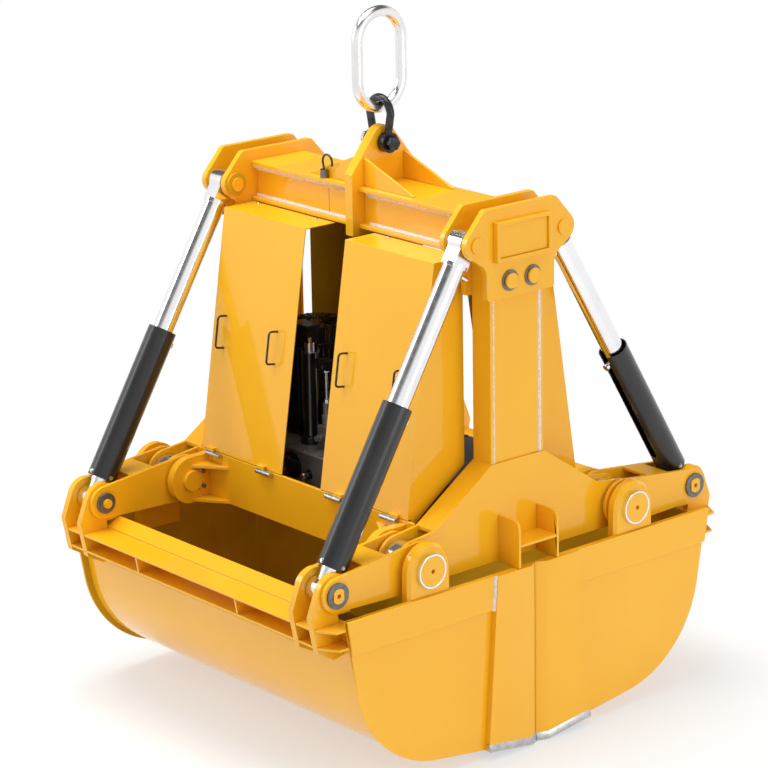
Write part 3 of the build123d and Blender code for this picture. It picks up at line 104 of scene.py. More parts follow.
class Finish:
    """A Principled material and the nodes that give it its grain."""

    def __init__(self, name, **sockets):
        self.material = bpy.data.materials.new(name)
        self.material.use_nodes = True
        self.tree = self.material.node_tree
        self.shader = self.tree.nodes["Principled BSDF"]
        self.place = self.tree.nodes.new("ShaderNodeTexCoord").outputs["Object"]
        for socket, value in sockets.items():
            self.shader.inputs[socket.replace("_", " ")].default_value = value

    def link(self, output, node, socket):
        self.tree.links.new(output, node.inputs[socket])

    def noise(self, scale, detail):
        texture = self.tree.nodes.new("ShaderNodeTexNoise")
        texture.inputs["Scale"].default_value = scale
        texture.inputs["Detail"].default_value = detail
        self.link(self.place, texture, "Vector")
        return texture.outputs["Fac"]

    def colour(self, grain, low, high):
        ramp = self.tree.nodes.new("ShaderNodeValToRGB")
        for stop, position, colour in zip(ramp.color_ramp.elements, COLOUR_SPREAD, (low, high)):
            stop.position = position
            stop.color = (*colour, 1.0)
        self.link(grain, ramp, "Fac")
        self.link(ramp.outputs["Color"], self.shader, "Base Color")

    def roughness(self, grain, low, high):
        spread = self.tree.nodes.new("ShaderNodeMapRange")
        spread.inputs["From Min"].default_value = ROUGHNESS_SPREAD[0]
        spread.inputs["From Max"].default_value = ROUGHNESS_SPREAD[1]
        spread.inputs["To Min"].default_value = low
        spread.inputs["To Max"].default_value = high
        self.link(grain, spread, "Value")
        self.link(spread.outputs["Result"], self.shader, "Roughness")

    def bump(self, grain, depth, strength):
        bump = self.tree.nodes.new("ShaderNodeBump")
        bump.inputs["Strength"].default_value = strength
        bump.inputs["Distance"].default_value = depth
        self.link(grain, bump, "Height")
        self.link(bump.outputs["Normal"], self.shader, "Normal")


def yellow_enamel():
    """Two coats of plant yellow under a clear gloss."""
    finish = Finish("yellow_enamel", Coat_Weight=0.85, Coat_Roughness=0.06, Specular_IOR_Level=0.15)
    finish.colour(finish.noise(scale=2.5, detail=3.0), ENAMEL_DEEP, ENAMEL)
    finish.roughness(finish.noise(scale=9.0, detail=4.0), low=0.34, high=0.42)
    finish.bump(finish.noise(scale=160.0, detail=1.0), depth=0.12 * MM, strength=0.25)
    return finish.material


def inside_enamel():
    """Yellow darkened to painted shade for the faces inside and in recesses, without the clear gloss."""
    finish = Finish("inside_enamel", Specular_IOR_Level=0.15)
    finish.colour(finish.noise(scale=4.0, detail=4.0), ENAMEL_PAINTED_SHADE_DEEP, ENAMEL_PAINTED_SHADE)
    finish.roughness(finish.noise(scale=12.0, detail=4.0), low=0.45, high=0.6)
    finish.bump(finish.noise(scale=160.0, detail=1.0), depth=0.12 * MM, strength=0.25)
    return finish.material


def black_enamel():
    """Black gloss of the power pack and the grips."""
    finish = Finish("black_enamel", Coat_Weight=1.0, Coat_Roughness=0.05, Coat_IOR=1.5,
                    Specular_IOR_Level=0.1)
    finish.colour(finish.noise(scale=6.0, detail=3.0), BLACK, BLACK_DULL)
    finish.roughness(finish.noise(scale=14.0, detail=4.0), low=0.30, high=0.42)
    finish.bump(finish.noise(scale=180.0, detail=1.0), depth=0.1 * MM, strength=0.2)
    return finish.material


def guard_enamel():
    """Stoved black of the rod guards, with a soft gloss."""
    finish = Finish("guard_enamel", Coat_Weight=1.0, Coat_Roughness=0.3, Specular_IOR_Level=0.1)
    finish.colour(finish.noise(scale=6.0, detail=3.0), BLACK, BLACK_DULL)
    finish.roughness(finish.noise(scale=14.0, detail=4.0), low=0.36, high=0.46)
    finish.bump(finish.noise(scale=180.0, detail=1.0), depth=0.1 * MM, strength=0.2)
    return finish.material


def plated_steel():
    """Hard chrome, ground round the tube."""
    finish = Finish("plated_steel", Metallic=1.0)
    finish.colour(finish.noise(scale=5.0, detail=3.0), PLATED_DULL, PLATED)
    finish.roughness(finish.noise(scale=40.0, detail=3.0), low=0.11, high=0.17)
    finish.bump(finish.noise(scale=700.0, detail=1.0), depth=0.02 * MM, strength=0.3)
    return finish.material


def tumbled_steel():
    """Bright steel of the master link, tumbled to a soft sheen."""
    finish = Finish("tumbled_steel", Metallic=1.0)
    finish.colour(finish.noise(scale=18.0, detail=4.0), TUMBLED_DULL, TUMBLED)
    finish.roughness(finish.noise(scale=30.0, detail=3.0), low=0.20, high=0.26)
    finish.bump(finish.noise(scale=260.0, detail=2.0), depth=0.02 * MM, strength=0.3)
    return finish.material


def machined_steel():
    """Turned and ground steel without a coat."""
    finish = Finish("machined_steel", Metallic=1.0)
    finish.colour(finish.noise(scale=30.0, detail=4.0), MACHINED_DULL, MACHINED)
    finish.roughness(finish.noise(scale=60.0, detail=4.0), low=0.24, high=0.38)
    finish.bump(finish.noise(scale=500.0, detail=2.0), depth=0.04 * MM, strength=0.4)
    return finish.material


def zinc_plate():
    """Dull grey plating of washers and small bolts."""
    finish = Finish("zinc_plate", Metallic=0.7)
    finish.colour(finish.noise(scale=45.0, detail=4.0), WASHER_DARK, WASHER)
    finish.roughness(finish.noise(scale=70.0, detail=4.0), low=0.30, high=0.45)
    finish.bump(finish.noise(scale=400.0, detail=2.0), depth=0.05 * MM, strength=0.4)
    return finish.material


def forged_steel():
    """Dark steel of the shackle."""
    finish = Finish("forged_steel", Metallic=0.85)
    finish.colour(finish.noise(scale=35.0, detail=5.0), FORGED_DARK, FORGED)
    finish.roughness(finish.noise(scale=50.0, detail=4.0), low=0.20, high=0.34)
    finish.bump(finish.noise(scale=220.0, detail=3.0), depth=0.25 * MM, strength=0.5)
    return finish.material


def grey_enamel():
    """Grey of the oil tank and the boxes on it."""
    finish = Finish("grey_enamel", Coat_Weight=0.3, Coat_Roughness=0.15)
    finish.colour(finish.noise(scale=4.0, detail=3.0), GREY, GREY_PALE)
    finish.roughness(finish.noise(scale=20.0, detail=3.0), low=0.35, high=0.5)
    finish.bump(finish.noise(scale=180.0, detail=1.0), depth=0.12 * MM, strength=0.3)
    return finish.material


def weld_metal():
    """Pale bare beads."""
    finish = Finish("weld_metal", Metallic=0.25)
    finish.colour(finish.noise(scale=90.0, detail=3.0), WELD_DARK, WELD)
    finish.roughness(finish.noise(scale=120.0, detail=3.0), low=0.35, high=0.55)
    finish.bump(finish.noise(scale=400.0, detail=2.0), depth=0.2 * MM, strength=0.4)
    return finish.material


def brass():
    """Cap of the accumulator."""
    finish = Finish("brass", Metallic=1.0)
    finish.colour(finish.noise(scale=60.0, detail=3.0), BRASS_DARK, BRASS)
    finish.roughness(finish.noise(scale=80.0, detail=3.0), low=0.22, high=0.35)
    finish.bump(finish.noise(scale=500.0, detail=2.0), depth=0.03 * MM, strength=0.3)
    return finish.material


FINISH = {
    "yellow_paint": yellow_enamel(),
    "black_paint": black_enamel(),
    "dark_steel": forged_steel(),
    "bright_steel": machined_steel(),
    "polished_steel": plated_steel(),
    "tumbled": tumbled_steel(),
    "guard": guard_enamel(),
    "grey_paint": grey_enamel(),
    # Painted shade: darker yellow for the faces inside and in recesses
    "inside": inside_enamel(),
    "zinc": zinc_plate(),
    "weld": weld_metal(),
    "brass": brass(),
}


# CAD nodes: rounded edges
SAME_SPOT = 0.01 * MM
EDGE_R, FINE_EDGE_R = 2.5 * MM, 1.0 * MM
EDGE_SEGMENTS = 2
EDGE_ANGLE, FLAT_ANGLE = math.radians(35), math.radians(0.4)
FINE_NODES = ("cover", "handles", "pin_keepers", "cover_hinge_posts", "cable_hook", "accumulator",
              "nameplates")
PLATE_NODES = ("shell_ends",)
# Square metres from which a face is shaded flat, on plates and on other nodes
PLATE_AREA, NO_AREA = 0.02, 100.0


def soften_tree(name, flat_from):
    """Geometry Nodes that shade a bevelled node smooth, apart from faces over an area."""
    tree = bpy.data.node_groups.new(name, "GeometryNodeTree")
    tree.interface.new_socket("Geometry", in_out="INPUT", socket_type="NodeSocketGeometry")
    tree.interface.new_socket("Geometry", in_out="OUTPUT", socket_type="NodeSocketGeometry")
    start = tree.nodes.new("NodeGroupInput")
    smooth = tree.nodes.new("GeometryNodeSetShadeSmooth")
    flat = tree.nodes.new("GeometryNodeSetShadeSmooth")
    area = tree.nodes.new("GeometryNodeInputMeshFaceArea")
    large = tree.nodes.new("FunctionNodeCompare")
    end = tree.nodes.new("NodeGroupOutput")
    tree.links.new(start.outputs[0], smooth.inputs["Geometry"])
    tree.links.new(smooth.outputs["Geometry"], flat.inputs["Geometry"])
    tree.links.new(area.outputs["Area"], large.inputs["A"])
    tree.links.new(large.outputs["Result"], flat.inputs["Selection"])
    tree.links.new(flat.outputs["Geometry"], end.inputs[0])
    large.inputs["B"].default_value = flat_from
    flat.inputs["Shade Smooth"].default_value = False
    return tree


SMOOTH_FACES = soften_tree("smooth_faces", NO_AREA)
PLATE_FACES = soften_tree("plate_faces", PLATE_AREA)


def soften(node):
    """Rounded edges on a CAD node, by modifiers that leave its mesh alone."""
    radius = FINE_EDGE_R if node.name.endswith(FINE_NODES) else EDGE_R
    weld = node.modifiers.new("merge", "WELD")
    weld.merge_threshold = SAME_SPOT
    flat = node.modifiers.new("flat_faces", "DECIMATE")
    flat.decimate_type = "DISSOLVE"
    flat.angle_limit = FLAT_ANGLE
    flat.delimit = {"MATERIAL"}
    bevel = node.modifiers.new("edges", "BEVEL")
    bevel.width = radius
    bevel.segments = EDGE_SEGMENTS
    bevel.limit_method = "ANGLE"
    bevel.angle_limit = EDGE_ANGLE
    bevel.miter_outer = "MITER_ARC"
    shade = node.modifiers.new("smooth", "NODES")
    shade.node_group = PLATE_FACES if node.name.endswith(PLATE_NODES) else SMOOTH_FACES
    normals = node.modifiers.new("normals", "WEIGHTED_NORMAL")
    normals.keep_sharp = True


# CAD nodes: finishes of their solids and faces
def solids_of(node):
    """Lists of the faces of each separate solid of a CAD node."""
    mesh = node.data
    spots = [tuple(round(value / SAME_SPOT) for value in vertex.co) for vertex in mesh.vertices]
    leader = {spot: spot for spot in spots}

    def lead(spot):
        while leader[spot] != spot:
            leader[spot] = leader[leader[spot]]
            spot = leader[spot]
        return spot

    for face in mesh.polygons:
        first = lead(spots[face.vertices[0]])
        for vertex in face.vertices[1:]:
            leader[lead(spots[vertex])] = first
    groups = {}
    for face in mesh.polygons:
        groups.setdefault(lead(spots[face.vertices[0]]), []).append(face)
    return list(groups.values())


def wear(node, faces, finish):
    """Give some faces of a CAD node a finish of their own."""
    material = FINISH[finish]
    slots = node.data.materials
    if material.name not in slots:
        slots.append(material)
    index = slots.find(material.name)
    for face in faces:
        face.material_index = index


def finish_solids(name, rule):
    """Finish each solid of a node by the size of its box."""
    node = NODES[name]
    for faces in solids_of(node):
        points = [node.data.vertices[vertex].co for face in faces for vertex in face.vertices]
        size = Vector(max(axis) - min(axis) for axis in zip(*points))
        wear(node, faces, rule(size))


def finish_faces(name, finish, rule):
    """Finish the faces of a node that a rule on their centre and normal picks."""
    node = NODES[name]
    wear(node, [face for face in node.data.polygons if rule(face.center, face.normal)], finish)


for name, node in NODES.items():
    node.data.materials.clear()
    node.data.materials.append(FINISH["guard" if name.endswith("_guard") else SLOT_OF[name]])
    soften(node)

# CAD nodes: sizes that tell their solids and faces apart
WASHER_T, SHACKLE_NUT_L, KEEPER_BOLT_H, BUSH_D = 20 * MM, 60 * MM, 40 * MM, 120 * MM
ROD_PIN, ROD_TAIL_R = mm(942, 0, -1938), 22 * MM
LUG_INNER_Y, LUG_INNER_X = 660 * MM, 800 * MM
KNIFE_INNER_Y = 800 * MM
BOWL_MIDDLE = mm(420, 0, -2250)
HINGE, HINGE_TUBE_R, TUBE_SLACK = mm(540, 0, -1922), 75 * MM, 2 * MM
LEDGE_Z, LEDGE_BACK, SHOULDER_X, LEDGE_SLACK = -1862 * MM, 371 * MM, 431 * MM, 1 * MM
HOOK_SOCKET_H = 30 * MM
FLASK_CAP_H, FLASK_NECK_H = 22 * MM, 61 * MM
FACING, SQUARE_ON, EDGE_ON = 0.5, 0.9, 0.1
post_low, post_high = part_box("cover_hinge_posts")
KNUCKLE_R, KNUCKLE_SLACK = (post_high.z - post_low.z) / 2, 1.5 * MM
KNUCKLE_X, KNUCKLE_Z = post_high.x - KNUCKLE_R, post_low.z + KNUCKLE_R


def off_axis(spot, x, z):
    """Distance of a spot from an axis along Y, on either side of the grab."""
    return math.hypot(abs(spot.x) - x, spot.z - z)


finish_solids("column_bolts", lambda size: "zinc" if size.y < WASHER_T else "yellow_paint")
# Thin rings of the head pins get "inside", the painted shade enamel: a painted shadow in their recess
finish_solids("head_pins", lambda size: "inside" if size.y < WASHER_T else "yellow_paint")
finish_solids("shackle_bolt", lambda size: "bright_steel" if size.y < SHACKLE_NUT_L else "dark_steel")
finish_solids("pin_keepers", lambda size: "zinc" if size.z < KEEPER_BOLT_H else "yellow_paint")
for side, x in SIDES.items():
    name = f"{side}_pin_sets"
    finish_solids(name, lambda size: "zinc" if size.y < WASHER_T else
                  "polished_steel" if size.x > BUSH_D else "yellow_paint")
    finish_faces(name, "zinc", lambda spot, out: abs(spot.y) < LUG_INNER_Y and abs(spot.x) > LUG_INNER_X and
                 off_axis(spot, ROD_PIN.x, ROD_PIN.z) > ROD_TAIL_R)
    finish_faces(f"{side}_knives", "bright_steel", lambda spot, out:
                 out.z < -SQUARE_ON or abs(spot.y) < KNIFE_INNER_Y)
    # Faces inside the shell skin and ends get "inside": painted shade, darker yellow where the bowl lies in
    # shade
    finish_faces(f"{side}_shell_skin", "inside", lambda spot, out:
                 out.x * (x * BOWL_MIDDLE.x - spot.x) + out.z * (BOWL_MIDDLE.z - spot.z) > 0.0)
    finish_faces(f"{side}_shell_ends", "inside", lambda spot, out: out.y * spot.y < -FACING)
    for end, y in ENDS.items():
        cover = f"{side}_{end}_cover"
        # Inward, downward and end faces inside the cover get "inside": painted shade of its hollow
        finish_faces(cover, "inside", lambda spot, out:
                     out.x * x < -FACING or out.z < -FACING or out.y * y < -SQUARE_ON)
        finish_faces(cover, "bright_steel", lambda spot, out:
                     off_axis(spot, KNUCKLE_X, KNUCKLE_Z) < KNUCKLE_R + KNUCKLE_SLACK)
finish_faces("master_link", "tumbled", lambda spot, out: True)
finish_faces("hinge_barrels", "polished_steel", lambda spot, out: abs(out.y) < FACING and
             abs(off_axis(spot, HINGE.x, HINGE.z) - HINGE_TUBE_R) < TUBE_SLACK)
finish_faces("gable_boxes", "polished_steel", lambda spot, out:
             out.z > SQUARE_ON and abs(spot.z - LEDGE_Z) < LEDGE_SLACK)
finish_faces("gable_boxes", "zinc", lambda spot, out: LEDGE_BACK < abs(spot.x) < SHOULDER_X and
             spot.z > LEDGE_Z and out.x * spot.x > 0 and abs(out.z) < EDGE_ON and abs(out.y) < EDGE_ON)
hook_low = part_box("cable_hook")[0]
finish_faces("cable_hook", "zinc", lambda spot, out: spot.z < hook_low.z + HOOK_SOCKET_H)
flask_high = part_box("accumulator")[1]
finish_faces("accumulator", "brass", lambda spot, out: spot.z > flask_high.z - FLASK_CAP_H)
finish_faces("accumulator", "bright_steel", lambda spot, out:
             FLASK_CAP_H < flask_high.z - spot.z < FLASK_NECK_H)


# Forms and patterns
class Form:
    """A mesh put together, in place, from lofted and turned solids."""

    def __init__(self):
        self.build = bmesh.new()

    def loft(self, *sections):
        """Closed solid through sections with the same number of corners."""
        rings = [[self.build.verts.new(corner) for corner in section] for section in sections]
        count = len(rings[0])
        for near, far in zip(rings, rings[1:]):
            for here in range(count):
                there = (here + 1) % count
                self.build.faces.new((near[here], near[there], far[there], far[here]))
        self.build.faces.new(rings[0][::-1])
        self.build.faces.new(rings[-1])
        return self

    def turn(self, foot, axis, profile, sides=24):
        """Turned solid of (height, radius) pairs along an axis from its foot."""
        axis = Vector(axis).normalized()
        across = axis.orthogonal().normalized()
        beside = axis.cross(across)
        sections = []
        for height, radius in profile:
            middle = Vector(foot) + axis * height
            turns = [2 * math.pi * (corner + 0.5) / sides for corner in range(sides)]
            rays = [math.cos(turn) * across + math.sin(turn) * beside for turn in turns]
            sections.append([middle + radius * ray for ray in rays])
        return self.loft(*sections)

    def block(self, low, high, lip=0.0):
        """Box with its upper edges drawn in by a lip."""
        def ring(z, inset):
            x_near, x_far = low[0] + inset, high[0] - inset
            y_near, y_far = low[1] + inset, high[1] - inset
            corners = ((x_near, y_near), (x_far, y_near), (x_far, y_far), (x_near, y_far))
            return [Vector((x, y, z)) for x, y in corners]

        levels = [ring(low[2], 0.0), ring(high[2] - lip, 0.0)]
        if lip:
            levels.append(ring(high[2], lip))
        return self.loft(*levels)

    def mesh(self, name):
        bmesh.ops.recalc_face_normals(self.build, faces=self.build.faces)
        mesh = bpy.data.meshes.new(name)
        self.build.to_mesh(mesh)
        self.build.free()
        return shaded(mesh)


def shaded(mesh):
    """Smooth shading between the sharp edges."""
    mesh.shade_smooth()
    mesh.set_sharp_from_angle(angle=EDGE_ANGLE)
    return mesh


class Pattern:
    """A Geometry Nodes tree that repeats one unit, with named inputs for its sizes."""

    def __init__(self, name, **inputs):
        self.tree = bpy.data.node_groups.new(name, "GeometryNodeTree")
        self.tree.interface.new_socket("Unit", in_out="INPUT", socket_type="NodeSocketGeometry")
        for label, kind in inputs.items():
            self.tree.interface.new_socket(label, in_out="INPUT", socket_type=kind)
        self.tree.interface.new_socket("Finish", in_out="INPUT", socket_type="NodeSocketMaterial")
        self.tree.interface.new_socket("Geometry", in_out="OUTPUT", socket_type="NodeSocketGeometry")
        self.inputs = self.tree.nodes.new("NodeGroupInput").outputs

    def node(self, kind, **settings):
        made = self.tree.nodes.new(kind)
        for setting, value in settings.items():
            setattr(made, setting, value)
        return made

    def link(self, output, node, socket):
        self.tree.links.new(output, node.inputs[socket])

    def end(self, instances):
        realize = self.node("GeometryNodeRealizeInstances")
        paint = self.node("GeometryNodeSetMaterial")
        out = self.node("NodeGroupOutput")
        self.link(instances, realize, "Geometry")
        self.link(realize.outputs["Geometry"], paint, "Geometry")
        self.link(self.inputs["Finish"], paint, "Material")
        self.link(paint.outputs["Geometry"], out, "Geometry")

    def grow(self, unit, finish, **sizes):
        """Plain mesh of the pattern, grown from the unit's mesh."""
        holder = bpy.data.objects.new(unit.name, unit)
        bpy.context.scene.collection.objects.link(holder)
        modifier = holder.modifiers.new("pattern", "NODES")
        modifier.node_group = self.tree
        sizes["Finish"] = FINISH[finish]
        for socket in self.tree.interface.items_tree:
            if socket.in_out == "INPUT" and socket.name in sizes:
                modifier[socket.identifier] = sizes[socket.name]
        seen = holder.evaluated_get(bpy.context.evaluated_depsgraph_get())
        mesh = bpy.data.meshes.new_from_object(seen)
        holder.modifiers.remove(modifier)
        bpy.data.objects.remove(holder)
        return mesh


def row_pattern():
    """Units in a straight row, each a little off its place."""
    row = Pattern("row", Count="NodeSocketInt", Step="NodeSocketVector", Uneven="NodeSocketFloat",
                  Seed="NodeSocketInt")
    line = row.node("GeometryNodeMeshLine", mode="OFFSET")
    drift = row.node("FunctionNodeRandomValue", data_type="FLOAT_VECTOR")
    low = row.node("ShaderNodeMath", operation="MULTIPLY")
    low.inputs[1].default_value = -1.0
    shift = row.node("GeometryNodeSetPosition")
    place = row.node("GeometryNodeInstanceOnPoints")
    row.link(row.inputs["Count"], line, "Count")
    row.link(row.inputs["Step"], line, "Offset")
    row.link(row.inputs["Uneven"], low, 0)
    row.link(low.outputs[0], drift, "Min")
    row.link(row.inputs["Uneven"], drift, "Max")
    row.link(row.inputs["Seed"], drift, "Seed")
    row.link(line.outputs["Mesh"], shift, "Geometry")
    row.link(drift.outputs[0], shift, "Offset")
    row.link(shift.outputs["Geometry"], place, "Points")
    row.link(row.inputs["Unit"], place, "Instance")
    row.end(place.outputs["Instances"])
    return row


def ring_pattern():
    """Units evenly round an axis."""
    ring = Pattern("ring", Count="NodeSocketInt", Centre="NodeSocketVector", Axis="NodeSocketVector")
    home = ring.node("ShaderNodeVectorMath", operation="SCALE")
    home.inputs["Scale"].default_value = -1.0
    moved = ring.node("GeometryNodeTransform")
    points = ring.node("GeometryNodePoints")
    index = ring.node("GeometryNodeInputIndex")
    share = ring.node("ShaderNodeMath", operation="DIVIDE")
    angle = ring.node("ShaderNodeMath", operation="MULTIPLY")
    angle.inputs[1].default_value = 2 * math.pi
    turn = ring.node("FunctionNodeAxisAngleToRotation")
    place = ring.node("GeometryNodeInstanceOnPoints")
    ring.link(ring.inputs["Centre"], home, 0)
    ring.link(ring.inputs["Unit"], moved, "Geometry")
    ring.link(home.outputs["Vector"], moved, "Translation")
    ring.link(ring.inputs["Count"], points, "Count")
    ring.link(ring.inputs["Centre"], points, "Position")
    ring.link(index.outputs[0], share, 0)
    ring.link(ring.inputs["Count"], share, 1)
    ring.link(share.outputs[0], angle, 0)
    ring.link(ring.inputs["Axis"], turn, "Axis")
    ring.link(angle.outputs[0], turn, "Angle")
    ring.link(points.outputs[0], place, "Points")
    ring.link(moved.outputs["Geometry"], place, "Instance")
    ring.link(turn.outputs["Rotation"], place, "Rotation")
    ring.end(place.outputs["Instances"])
    return ring


ROW = row_pattern()
RING = ring_pattern()


def joined(name, meshes):
    """One mesh of several, for a body."""
    whole = bmesh.new()
    for mesh in meshes:
        whole.from_mesh(mesh)
        bpy.data.meshes.remove(mesh)
    result = bpy.data.meshes.new(name)
    whole.to_mesh(result)
    whole.free()
    return shaded(result)


def add_piece(name, mesh, body, finish):
    """Put a finished mesh on a body of the frame."""
    mesh.materials.clear()
    mesh.materials.append(FINISH[finish])
    piece = bpy.data.objects.new(name, mesh)
    bpy.context.scene.collection.objects.link(piece)
    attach(piece, body)


# Welds
RIPPLE, RIPPLE_LAP, RIPPLE_DIP = 5.0 * MM, 0.2, 0.86
BEAD_DRIFT, BEAD_SEED = 0.25 * MM, 7


def weld_run(root, end, *section):
    """Weld from root to end: ripples of a section, whose corners are given from the root."""
    root, end = Vector(root), Vector(end)
    count = round((end - root).length / RIPPLE)
    step = (end - root) / count
    corners = [Vector((0.0, 0.0, 0.0))] + [Vector(corner) for corner in section]

    def across(steps, share):
        return [root + step * steps + corner * share for corner in corners]

    sections = [across(-RIPPLE_LAP, RIPPLE_DIP), across(0.5, 1.0), across(1 + RIPPLE_LAP, RIPPLE_DIP)]
    ripple = Form().loft(*sections).mesh("ripple")
    return ROW.grow(ripple, "weld", Count=count, Step=step, Uneven=BEAD_DRIFT, Seed=BEAD_SEED)


column_low, column_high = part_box("columns")
plate_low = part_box("outer_end_plates")[0]
beam_low, beam_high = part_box("top_beam")
lift_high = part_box("lifting_plate")[1]
COLUMN_FLANGE_T, COLUMN_SETBACK = 14 * MM, 4 * MM
COLUMN_BEAD_W, COLUMN_BEAD_OUT = 11 * MM, 1.15 * COLUMN_SETBACK
COLUMN_CROWN_IN, COLUMN_CROWN_OUT = 0.6 * COLUMN_BEAD_W, 1.1 * COLUMN_SETBACK
BEAM_FLANGE_T, BEAM_WEB_SETBACK = 17 * MM, 30 * MM
BEAM_BEAD_START = 35 * MM
UPPER_BEAD, LOWER_BEAD, FILLET_CROWN = 26 * MM, 9 * MM, 0.58
BAND_TOP, BAND_FOOT = mm(216, 893, -2021), mm(226.5, 893, -2161)
BAND_BEAD_W, BAND_BEAD_OUT, BAND_CROWN = 10 * MM, 9 * MM, 6 * MM


def column_welds():
    """Beads in the corners of web and flange, up to the end plates."""
    runs = []
    inside = column_high.x - COLUMN_FLANGE_T
    face = column_high.y - COLUMN_SETBACK
    for x in (-1, 1):
        for y in (-1, 1):
            runs.append(weld_run(
                (x * inside, y * face, column_low.z), (x * inside, y * face, plate_low.z),
                (-x * COLUMN_BEAD_W, 0, 0), (-x * COLUMN_CROWN_IN, y * COLUMN_CROWN_OUT, 0),
                (0, y * COLUMN_BEAD_OUT, 0)))
    return runs


def beam_welds():
    """Fillets under the top flange and on the lower flange, along both webs."""
    runs = []
    web = beam_high.x - BEAM_WEB_SETBACK
    near = lift_high.y + BEAM_BEAD_START
    upper = (beam_high.z - BEAM_FLANGE_T, -1, UPPER_BEAD)
    lower = (beam_low.z + BEAM_FLANGE_T, 1, LOWER_BEAD)
    for level, way, leg in (upper, lower):
        crown = FILLET_CROWN * leg
        for x in (-1, 1):
            for y in (-1, 1):
                runs.append(weld_run(
                    (x * web, y * near, level), (x * web, y * beam_high.y, level),
                    (x * leg, 0, 0), (x * crown, 0, way * crown), (0, 0, way * leg)))
    return runs


def band_weld(x, y):
    """Bead where a rim band ends against a knife."""
    top, foot = (Vector((x * end.x, y * end.y, end.z)) for end in (BAND_TOP, BAND_FOOT))
    return weld_run(top, foot, (x * BAND_BEAD_W, 0, 0), (x * BAND_CROWN, y * BAND_CROWN, 0),
                    (0, y * BAND_BEAD_OUT, 0))


add_piece("frame_welds", joined("frame_welds", column_welds() + beam_welds()), "frame", "weld")
for side, x in SIDES.items():
    beads = joined("band_welds", [band_weld(x, y) for y in ENDS.values()])
    add_piece(f"{side}_band_welds", beads, f"{side}_shell", "weld")


# Wear edges under the knives
SINK = 1 * MM
MATE_X, KNIFE_BEVEL_X, KNIFE_FOOT_X = 1 * MM, 44 * MM, 269 * MM
FLOOR_TOE_Z, FLOOR_SLOPE = -2767.8 * MM, math.tan(math.radians(7.6))
SHELL_FACE_Y, KNIFE_FACE_Y = 880 * MM, 906 * MM
WEAR_H, WEAR_BEVEL_H, WEAR_LAP = 29 * MM, 15 * MM, 2 * MM
WEAR_OUT, WEAR_ROOT, WEAR_LIFT = 7 * MM, 12 * MM, 0.3 * MM
WEAR_STATIONS = ((KNIFE_FOOT_X + SINK, KNIFE_FACE_Y), (KNIFE_BEVEL_X, KNIFE_FACE_Y),
                 (MATE_X, SHELL_FACE_Y + SINK))


def wear_edge(x, y):
    """Ground bar that stands proud of the knife, with a bevel on top."""
    sections = []
    for at, face in WEAR_STATIONS:
        foot = FLOOR_TOE_Z + (at - MATE_X) * FLOOR_SLOPE + WEAR_LIFT
        top = foot + WEAR_H + WEAR_LAP
        root, out, bevel = face - WEAR_ROOT, face + WEAR_OUT, foot + WEAR_H - WEAR_BEVEL_H
        corners = ((root, foot), (out, foot), (out, bevel), (face - SINK, top), (root, top))
        sections.append([Vector((x * at, y * depth, height)) for depth, height in corners])
    return Form().loft(*sections).mesh("wear_edge")


for side, x in SIDES.items():
    bars = joined("wear_edges", [wear_edge(x, y) for y in ENDS.values()])
    add_piece(f"{side}_wear_edges", bars, f"{side}_shell", "bright_steel")


# Bolts and screws
HEX_SIDES, WASHER_SIDES = 6, 16
SMALL_BOLT = {"head_r": 7 * MM, "head_h": 6 * MM, "washer_r": 9 * MM}
CAP_BOLT = {"head_r": 6.5 * MM, "head_h": 8 * MM, "washer_r": 8 * MM}
BOLT_WASHER, BOLT_CHAMFER_AT, BOLT_CHAMFER_R = 0.15, 0.85, 0.88
SCREW_WASHER_R, SCREW_WASHER_T = 1.25, 2.5 * MM
SCREW_DOME = ((0.0, 1.0), (0.45, 0.95), (0.7, 0.7), (0.8, 0.3))


def bolt(seat, out, head_r, head_h, washer_r):
    """Hexagon head with a chamfer, on its washer."""
    seat, out = Vector(seat), Vector(out)
    washer = ((0, washer_r), (BOLT_WASHER * head_h + SINK, washer_r))
    head = ((0, head_r), (BOLT_CHAMFER_AT * head_h, head_r), (head_h, BOLT_CHAMFER_R * head_r))
    form = Form().turn(seat - out * SINK, out, washer, WASHER_SIDES)
    return form.turn(seat, out, head, HEX_SIDES).mesh("bolt")


def dome_screw(seat, out, radius):
    """Round-headed screw with its washer."""
    seat, out = Vector(seat), Vector(out)
    washer = ((0, SCREW_WASHER_R * radius), (SCREW_WASHER_T, SCREW_WASHER_R * radius))
    dome = [(rise * radius, share * radius) for rise, share in SCREW_DOME]
    form = Form().turn(seat - out * SINK, out, washer, WASHER_SIDES)
    return form.turn(seat, out, dome, WASHER_SIDES).mesh("screw")


HEAD_PIN, CYLINDER_Y = mm(222, 0, -737), 733 * MM
GUARD_R, GUARD_FOOT = 59 * MM, 1314.3 * MM
GUARD_BOLT_COUNT, GUARD_BOLT_RISE = 4, 15 * MM
COVER_SCREW_COUNT, COVER_SCREW_R = 2, 7 * MM
COVER_SCREW_INSET, COVER_SCREW_IN, COVER_SCREW_OUT = 16 * MM, 100 * MM, 52 * MM


def guard_bolts(x, y):
    """Bolts that hold a guard on its rod, near the guard's foot."""
    down = Vector(((ROD_PIN.x - HEAD_PIN.x) * x, 0, ROD_PIN.z - HEAD_PIN.z)).normalized()
    middle = Vector((HEAD_PIN.x * x, CYLINDER_Y * y, HEAD_PIN.z)) + down * (GUARD_FOOT - GUARD_BOLT_RISE)
    out = Vector((0, y, 0))
    unit = bolt(middle + out * GUARD_R, out, **SMALL_BOLT)
    return RING.grow(unit, "bright_steel", Count=GUARD_BOLT_COUNT, Centre=middle, Axis=down)


